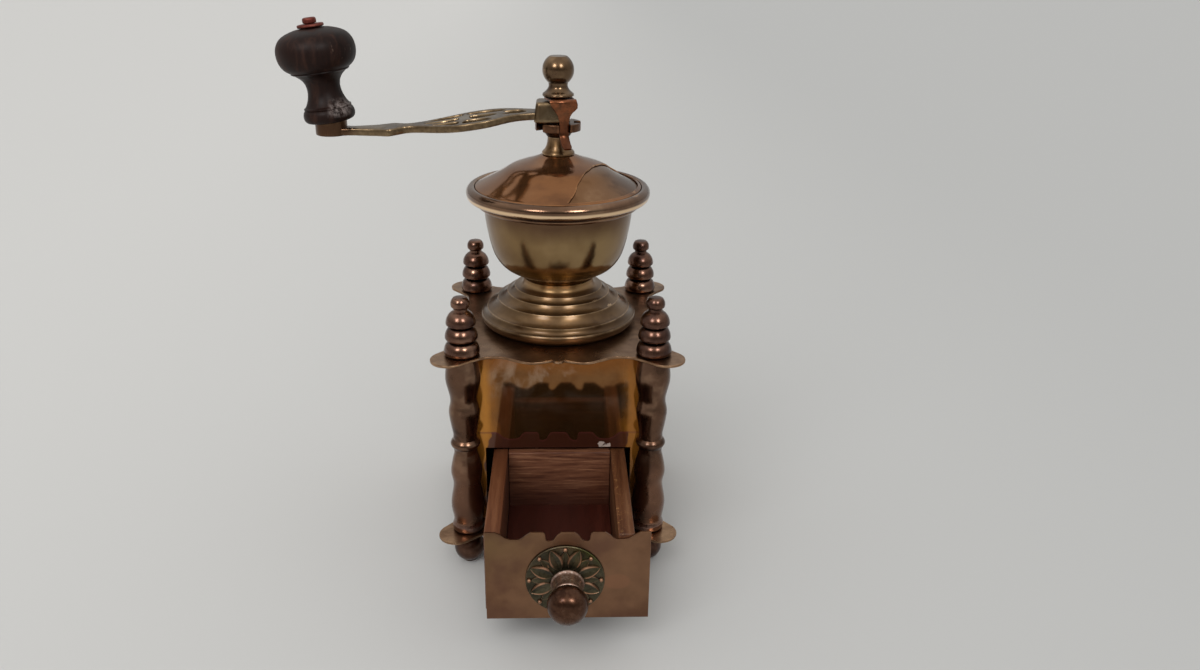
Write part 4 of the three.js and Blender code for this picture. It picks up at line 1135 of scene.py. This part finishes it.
left_wood = board_wood("left_wood", (1, 0.05, 1), (70, 36, 18), (90, 50, 27), (108, 66, 40))
right_wood = board_wood("right_wood", (1, 0.05, 1), (66, 34, 16), (86, 50, 27), (104, 68, 42))
tree, across, _, upwards = within(right_wood)
crumbs = stretch(tree, speckle(tree, 1100, 2), 0.6, 0.66, 0, 0.75)
on_top = stretch(tree, upwards, 0.0535, 0.0545, 0, 1)
on_top = times(tree, on_top, stretch(tree, across, 0.0272, 0.0252, 0.15, 1))
coat(right_wood, times(tree, crumbs, on_top), (166, 122, 74))
across_wood = board_wood("across_wood", (0.06, 1, 1), (66, 34, 20), (98, 59, 39), (128, 86, 60), 900)
tree, _, _, upwards = within(across_wood)
coat(across_wood, stretch(tree, upwards, 0.028, 0.044, 0.85, 0), (52, 19, 9))
floor_wood = board_wood("floor_wood", (1, 0.12, 1), (48, 15, 6), (56, 18, 8), (66, 24, 12), 160)


def board(name, lowest, highest, soft, finish):
    body = bmesh.new()
    bmesh.ops.create_cube(body, size=1)
    for vert in body.verts:
        vert.co = [(a if v < 0 else b) / 1000 for v, a, b in zip(vert.co, lowest, highest)]
    worn_edge = {"offset": soft / 1000, "segments": 3, "profile": 0.6, "affect": "EDGES"}
    bmesh.ops.bevel(body, geom=body.edges[:], **worn_edge)
    return keep_mesh(name, body, finish, 30)


box_front, box_rear, box_low, box_top = -106.4, -33.5, 18.1, 55
within_left, within_right, inner_top = -23.55, 24.55, 48.4
pull_x, pull_z = 3.8, 34.2
for side, x0, x1, finish in (("left", -30.6, -23.8, left_wood), ("right", 24.8, 31.6, right_wood)):
    ends = (x0, box_front, box_low), (x1, box_rear, box_top)
    wall = board(f"drawer_wall_{side}", *ends, 0.45, finish)
    fit(wall, "drawer", "drawer_wood", f"drawer_side_{side}")
ends = (within_left, -38, box_low), (within_right, box_rear, box_top)
back = board("drawer_back_board", *ends, 0.4, across_wood)
fit(back, "drawer", "drawer_wood", "drawer_back")
inner_outline = [(within_left, box_low), (within_right, box_low)]
inner_outline += [(within_right, inner_top), (within_left, inner_top)]
inner_loops = [inner_outline, ring(pull_x, pull_z, 2.3, 32)]
inner_edge = rolled_edge(100.4, -box_front, 0.4)
inner_front = cut_sheet("drawer_inner_board", inner_loops, inner_edge, across_wood)
fit(inner_front, "drawer", "drawer_wood", "drawer_inner_front", at=to_front)
ends = (within_left, -100.15, 23), (within_right, -38.25, 26.6)
drawer_floor = board("drawer_floor_board", *ends, 0.3, floor_wood)
fit(drawer_floor, "drawer", "drawer_wood", "drawer_floor")

# The drawer's front, a plate of brass with a notched upper edge, copper-brown and mottled by
# handling: olive at the upper left, with a paler oval low on the right. It overhangs the box.
front_brass = tarnished(
    "front_brass", (95, 67, 51), (110, 79, 60), (125, 93, 71), gloss=(0.28, 0.4),
    hollow_tone=(54, 34, 24), worn=(150, 112, 84), patch=14, speck=0.06, dent=0.015, hollow=0.3, lacquer=0.0,
)
tree, across, _, upwards = within(front_brass)
cloud = speckle(tree, 45, 3)
leftwards = stretch(tree, across, -0.03, 0.0, 1, 0)
olive = times(tree, leftwards, stretch(tree, upwards, 0.03, 0.052, 0, 0.8))
coat(front_brass, olive, (124, 98, 68))
oval_x, oval_z = 0.0245, 0.0325
offset = {
    "X": work_out(tree, "SUBTRACT", oval_x, across),
    "Z": times(tree, work_out(tree, "SUBTRACT", oval_z, upwards), 1.5),
}
offset = add(tree, "ShaderNodeCombineXYZ", offset).outputs[0]
far = add(tree, "ShaderNodeVectorMath", {0: offset}, operation="LENGTH").outputs["Value"]
far = work_out(tree, "ADD", far, stretch(tree, cloud, 0.3, 0.7, -0.001, 0.001))
coat(front_brass, stretch(tree, far, 0.0045, 0.0058, 0.6, 0), (144, 103, 78))
coat(front_brass, stretch(tree, cloud, 0.52, 0.64, 0, 0.5), (98, 68, 57))
# The back of the plate, which faces into the drawer, is painted dark: painted shade, seen in the mirror
# of the case front.
facing = add(tree, "ShaderNodeNewGeometry").outputs["Normal"]
to_object = {"vector_type": "NORMAL", "convert_from": "WORLD", "convert_to": "OBJECT"}
facing = add(tree, "ShaderNodeVectorTransform", {0: facing}, **to_object).outputs[0]
painted_back_shade = add(tree, "ShaderNodeSeparateXYZ", {0: facing}).outputs["Y"]
coat(front_brass, stretch(tree, painted_back_shade, 0.5, 0.7, 0, 0.9), (44, 32, 22))
plate_centre, plate_half, plate_top, plate_bottom = 4, 34.2, 56.7, 14.2
wide_notch = [(29.8, 0), (27.6, 1.2), (25.2, 2.9), (22.4, 3.5), (19.6, 3.2), (17.4, 1.5), (15.3, 0)]
half_edge = [(plate_half, 0), (29.8, 0)] + flow(wide_notch, 30)[1:]
half_edge += flow([(10.3, 0), (9.4, 0.9), (9, 3.4), (8, 4.3), (6.2, 3.8), (4.6, 1.6), (2.7, 0)], 30)
front_outline = [(plate_centre + x, plate_top - down) for x, down in half_edge]
front_outline += [(plate_centre - x, plate_top - down) for x, down in reversed(half_edge)]
front_outline += [(plate_centre - plate_half, plate_bottom), (plate_centre + plate_half, plate_bottom)]
plate_face = 107.8
plate_loops = [front_outline, ring(pull_x, pull_z, 2.25, 32)]
plate_edge = rolled_edge(106.6, plate_face, 0.25)
drawer_plate = cut_sheet("drawer_plate", plate_loops, plate_edge, front_brass)
fit(drawer_plate, "drawer", "bronze", "drawer_front", at=to_front)

# The rosette behind the pull, stamped from thin brass and gone green: eight pointed petals with
# raised copper edges, the tips of a second row between them, and a bead over each of these.
leaf_brass = tarnished(
    "leaf_brass", (54, 50, 36), (76, 70, 52), (92, 84, 64), gloss=(0.4, 0.55),
    hollow_tone=(26, 24, 16), worn=(150, 116, 90), patch=110, speck=0.3, dent=0.08, hollow=0.8,
)
tree, across, _, upwards = within(leaf_brass)
green = stretch(tree, upwards, 0.038, 0.046, 0, 0.7)
green = times(tree, green, stretch(tree, across, 0.002, 0.014, 0, 1))
coat(leaf_brass, times(tree, green, stretch(tree, speckle(tree, 260, 4), 0.4, 0.6, 0, 1)), (78, 84, 34))
rubbed = add(tree, "ShaderNodeAttribute", attribute_name="rubbed").outputs["Fac"]
coat(leaf_brass, rubbed, (168, 124, 96))
pull_place = Matrix.Translation((pull_x / 1000, -plate_face / 1000, pull_z / 1000))
pull_frame = pull_place @ Matrix.Rotation(math.pi / 2, 4, "X")


def mark_rubbed(piece, marks):
    piece.data.attributes.new("rubbed", "FLOAT", "POINT").data.foreach_set("value", marks)


def leaf(name, root, tip, half_width, lift, shine):
    """A pointed leaf along Y with raised edges and a shallow crease, lying on the dish."""
    body = bmesh.new()
    marks = []
    grid = []
    for i in range(29):
        u = i / 28
        span = half_width * math.sin(math.pi * u**0.85) ** 0.75 if 0 < i < 28 else 0.04
        row = []
        for j in range(21):
            v = j / 10 - 1
            swell = math.sin(math.pi * u) ** 0.5 if 0 < i < 28 else 0
            crease = 0.2 * math.exp(-((v / 0.14) ** 2)) * swell
            rise = lift * swell * (0.25 + 0.75 * abs(v) ** 2) - crease
            if abs(v) > 0.85:
                rise -= (abs(v) - 0.85) / 0.15 * (rise + 0.5)
            along = (root + (tip - root) * u) / 1000
            row.append(body.verts.new((v * span / 1000, along, (0.9 + rise) / 1000)))
            marks.append(shine if 0.68 < abs(v) < 0.95 and u > 0.25 else 0)
        grid.append(row)
    for lower, upper in zip(grid, grid[1:]):
        for j in range(20):
            body.faces.new((lower[j], lower[j + 1], upper[j + 1], upper[j]))
    made = keep_mesh(name, body, leaf_brass, 60)
    mark_rubbed(made, marks)
    return made


petal = leaf("petal", 5.5, 15.6, 3.0, 1.3, 0.7)
tip_leaf = leaf("tip_leaf", 6, 14.2, 2.2, 0.5, 0.15)
bpy.ops.mesh.primitive_uv_sphere_add(segments=20, ring_count=10, radius=0.0009)
bead = bpy.context.object
bead.data.materials.append(leaf_brass)
mark_rubbed(bead, [0.8] * len(bead.data.vertices))
for face in bead.data.polygons:
    face.use_smooth = True
dish_profile = [(2.3, 0.3), (16.4, 0.3), (16.6, 0.6), (16.3, 1), (15.6, 0.8), (13.6, 0.5), (6, 0.6)]
dish_profile = ease_corners(dish_profile + [(2.3, 1)], 0.2)
dish = turned("rosette_dish", dish_profile, leaf_brass, 128, 0.9, True)
tree = bpy.data.node_groups.new("rosette", "GeometryNodeTree")
tree.interface.new_socket("Geometry", in_out="INPUT", socket_type="NodeSocketGeometry")
petal_count = tree.interface.new_socket("Petals", in_out="INPUT", socket_type="NodeSocketInt")
bead_ring = tree.interface.new_socket("Bead ring", in_out="INPUT", socket_type="NodeSocketFloat")
tree.interface.new_socket("Geometry", in_out="OUTPUT", socket_type="NodeSocketGeometry")
entry = add(tree, "NodeGroupInput")
step = work_out(tree, "DIVIDE", 2 * math.pi, entry.outputs["Petals"])


def round_the_pull(source, shift, radius, lift):
    count = add(tree, "GeometryNodeMeshLine", {"Count": entry.outputs["Petals"]})
    index = add(tree, "GeometryNodeInputIndex").outputs[0]
    angle = times(tree, work_out(tree, "ADD", index, shift), step)
    spin = add(tree, "ShaderNodeCombineXYZ", {"Z": angle}).outputs[0]
    start = add(tree, "ShaderNodeCombineXYZ", {"Y": radius, "Z": lift}).outputs[0]
    turn = {"Vector": start, "Rotation": spin}
    spot = add(tree, "ShaderNodeVectorRotate", turn, rotation_type="EULER_XYZ").outputs[0]
    placed = {"Geometry": count.outputs[0], "Position": spot}
    placed = add(tree, "GeometryNodeSetPosition", placed)
    shape = add(tree, "GeometryNodeObjectInfo", {"Object": source}).outputs["Geometry"]
    spread = {"Points": placed.outputs[0], "Instance": shape, "Rotation": spin}
    return add(tree, "GeometryNodeInstanceOnPoints", spread).outputs[0]


leaves = round_the_pull(petal, 0.5, 0.0, 0.0)
second_row = round_the_pull(tip_leaf, 0.0, 0.0, -0.0001)
beads = round_the_pull(bead, 0.0, entry.outputs["Bead ring"], 0.0011)
together = add(tree, "GeometryNodeJoinGeometry")
for part_of in (entry.outputs["Geometry"], leaves, second_row, beads):
    tree.links.new(part_of, together.inputs[0])
real = add(tree, "GeometryNodeRealizeInstances", {"Geometry": together.outputs[0]})
finished = add(tree, "GeometryNodeSetMaterial", {"Geometry": real.outputs[0], "Material": leaf_brass})
add(tree, "NodeGroupOutput", {"Geometry": finished.outputs[0]})
stamping = dish.modifiers.new("rosette", "NODES")
stamping.node_group = tree
stamping[petal_count.identifier] = 8
stamping[bead_ring.identifier] = 0.015
rosette = make_real(dish)
rosette.name = "drawer_rosette_stamped"
for template in (petal, tip_leaf, bead):
    bpy.data.objects.remove(template)
off_centre = Matrix.Translation((-0.0009, 0, 0))
fit(rosette, "drawer", "verdigris_brass", "drawer_rosette", at=pull_frame @ off_centre)

# The pull: a waisted collar worn to a silvery pink, and a small flattened knob of dark reddish brass
# in front of it. One screw from inside the drawer holds both.
worn_brass = tarnished(
    "worn_brass", (110, 86, 74), (150, 122, 108), (196, 176, 164), gloss=(0.3, 0.5),
    hollow_tone=(40, 28, 22), worn=(190, 166, 150), patch=130, speck=0.5, dent=0.08,
)
collar_profile = [(2.3, 3.1)]
collar_profile += ease_corners([(6.4, 3.1), (7, 3.4), (7.1, 4.1), (6.5, 4.8), (6.3, 5.6)], 0.3)
collar_profile += flow([(6.25, 6.6), (6.15, 8), (6.2, 9.6), (6.35, 10.8)], 10)
collar_profile += ease_corners([(6.5, 11.4), (6.5, 12.1), (6.2, 12.4)], 0.2) + [(2.3, 12.4)]
collar = turned("pull_collar_turned", collar_profile, worn_brass, 72, 0.8, True)
fit(collar, "drawer", "bronze", "pull_collar", at=pull_frame)
dark_red_brass = tarnished(
    "dark_red_brass", (56, 34, 24), (78, 52, 38), (96, 68, 52), gloss=(0.24, 0.36),
    hollow_tone=(34, 18, 12), worn=(130, 96, 74), patch=110, speck=0.3, dent=0.05, lacquer=0.1,
)
pull_ball = [
    (5.4, 12.7), (6.6, 13.1), (7.7, 14.4), (8.3, 16.2), (8.3, 18.2), (7.6, 20.4), (6.2, 22.2),
    (4.2, 23.4), (2, 24), (0, 24.1),
]
pull_profile = [(2.3, 12.7)] + flow(pull_ball, 44) + [(0, 20), (2.3, 20)]
pull = turned("drawer_pull_turned", pull_profile, dark_red_brass, 80, 0.8, True)
fit(pull, "drawer", "copper", "drawer_pull", at=pull_frame)
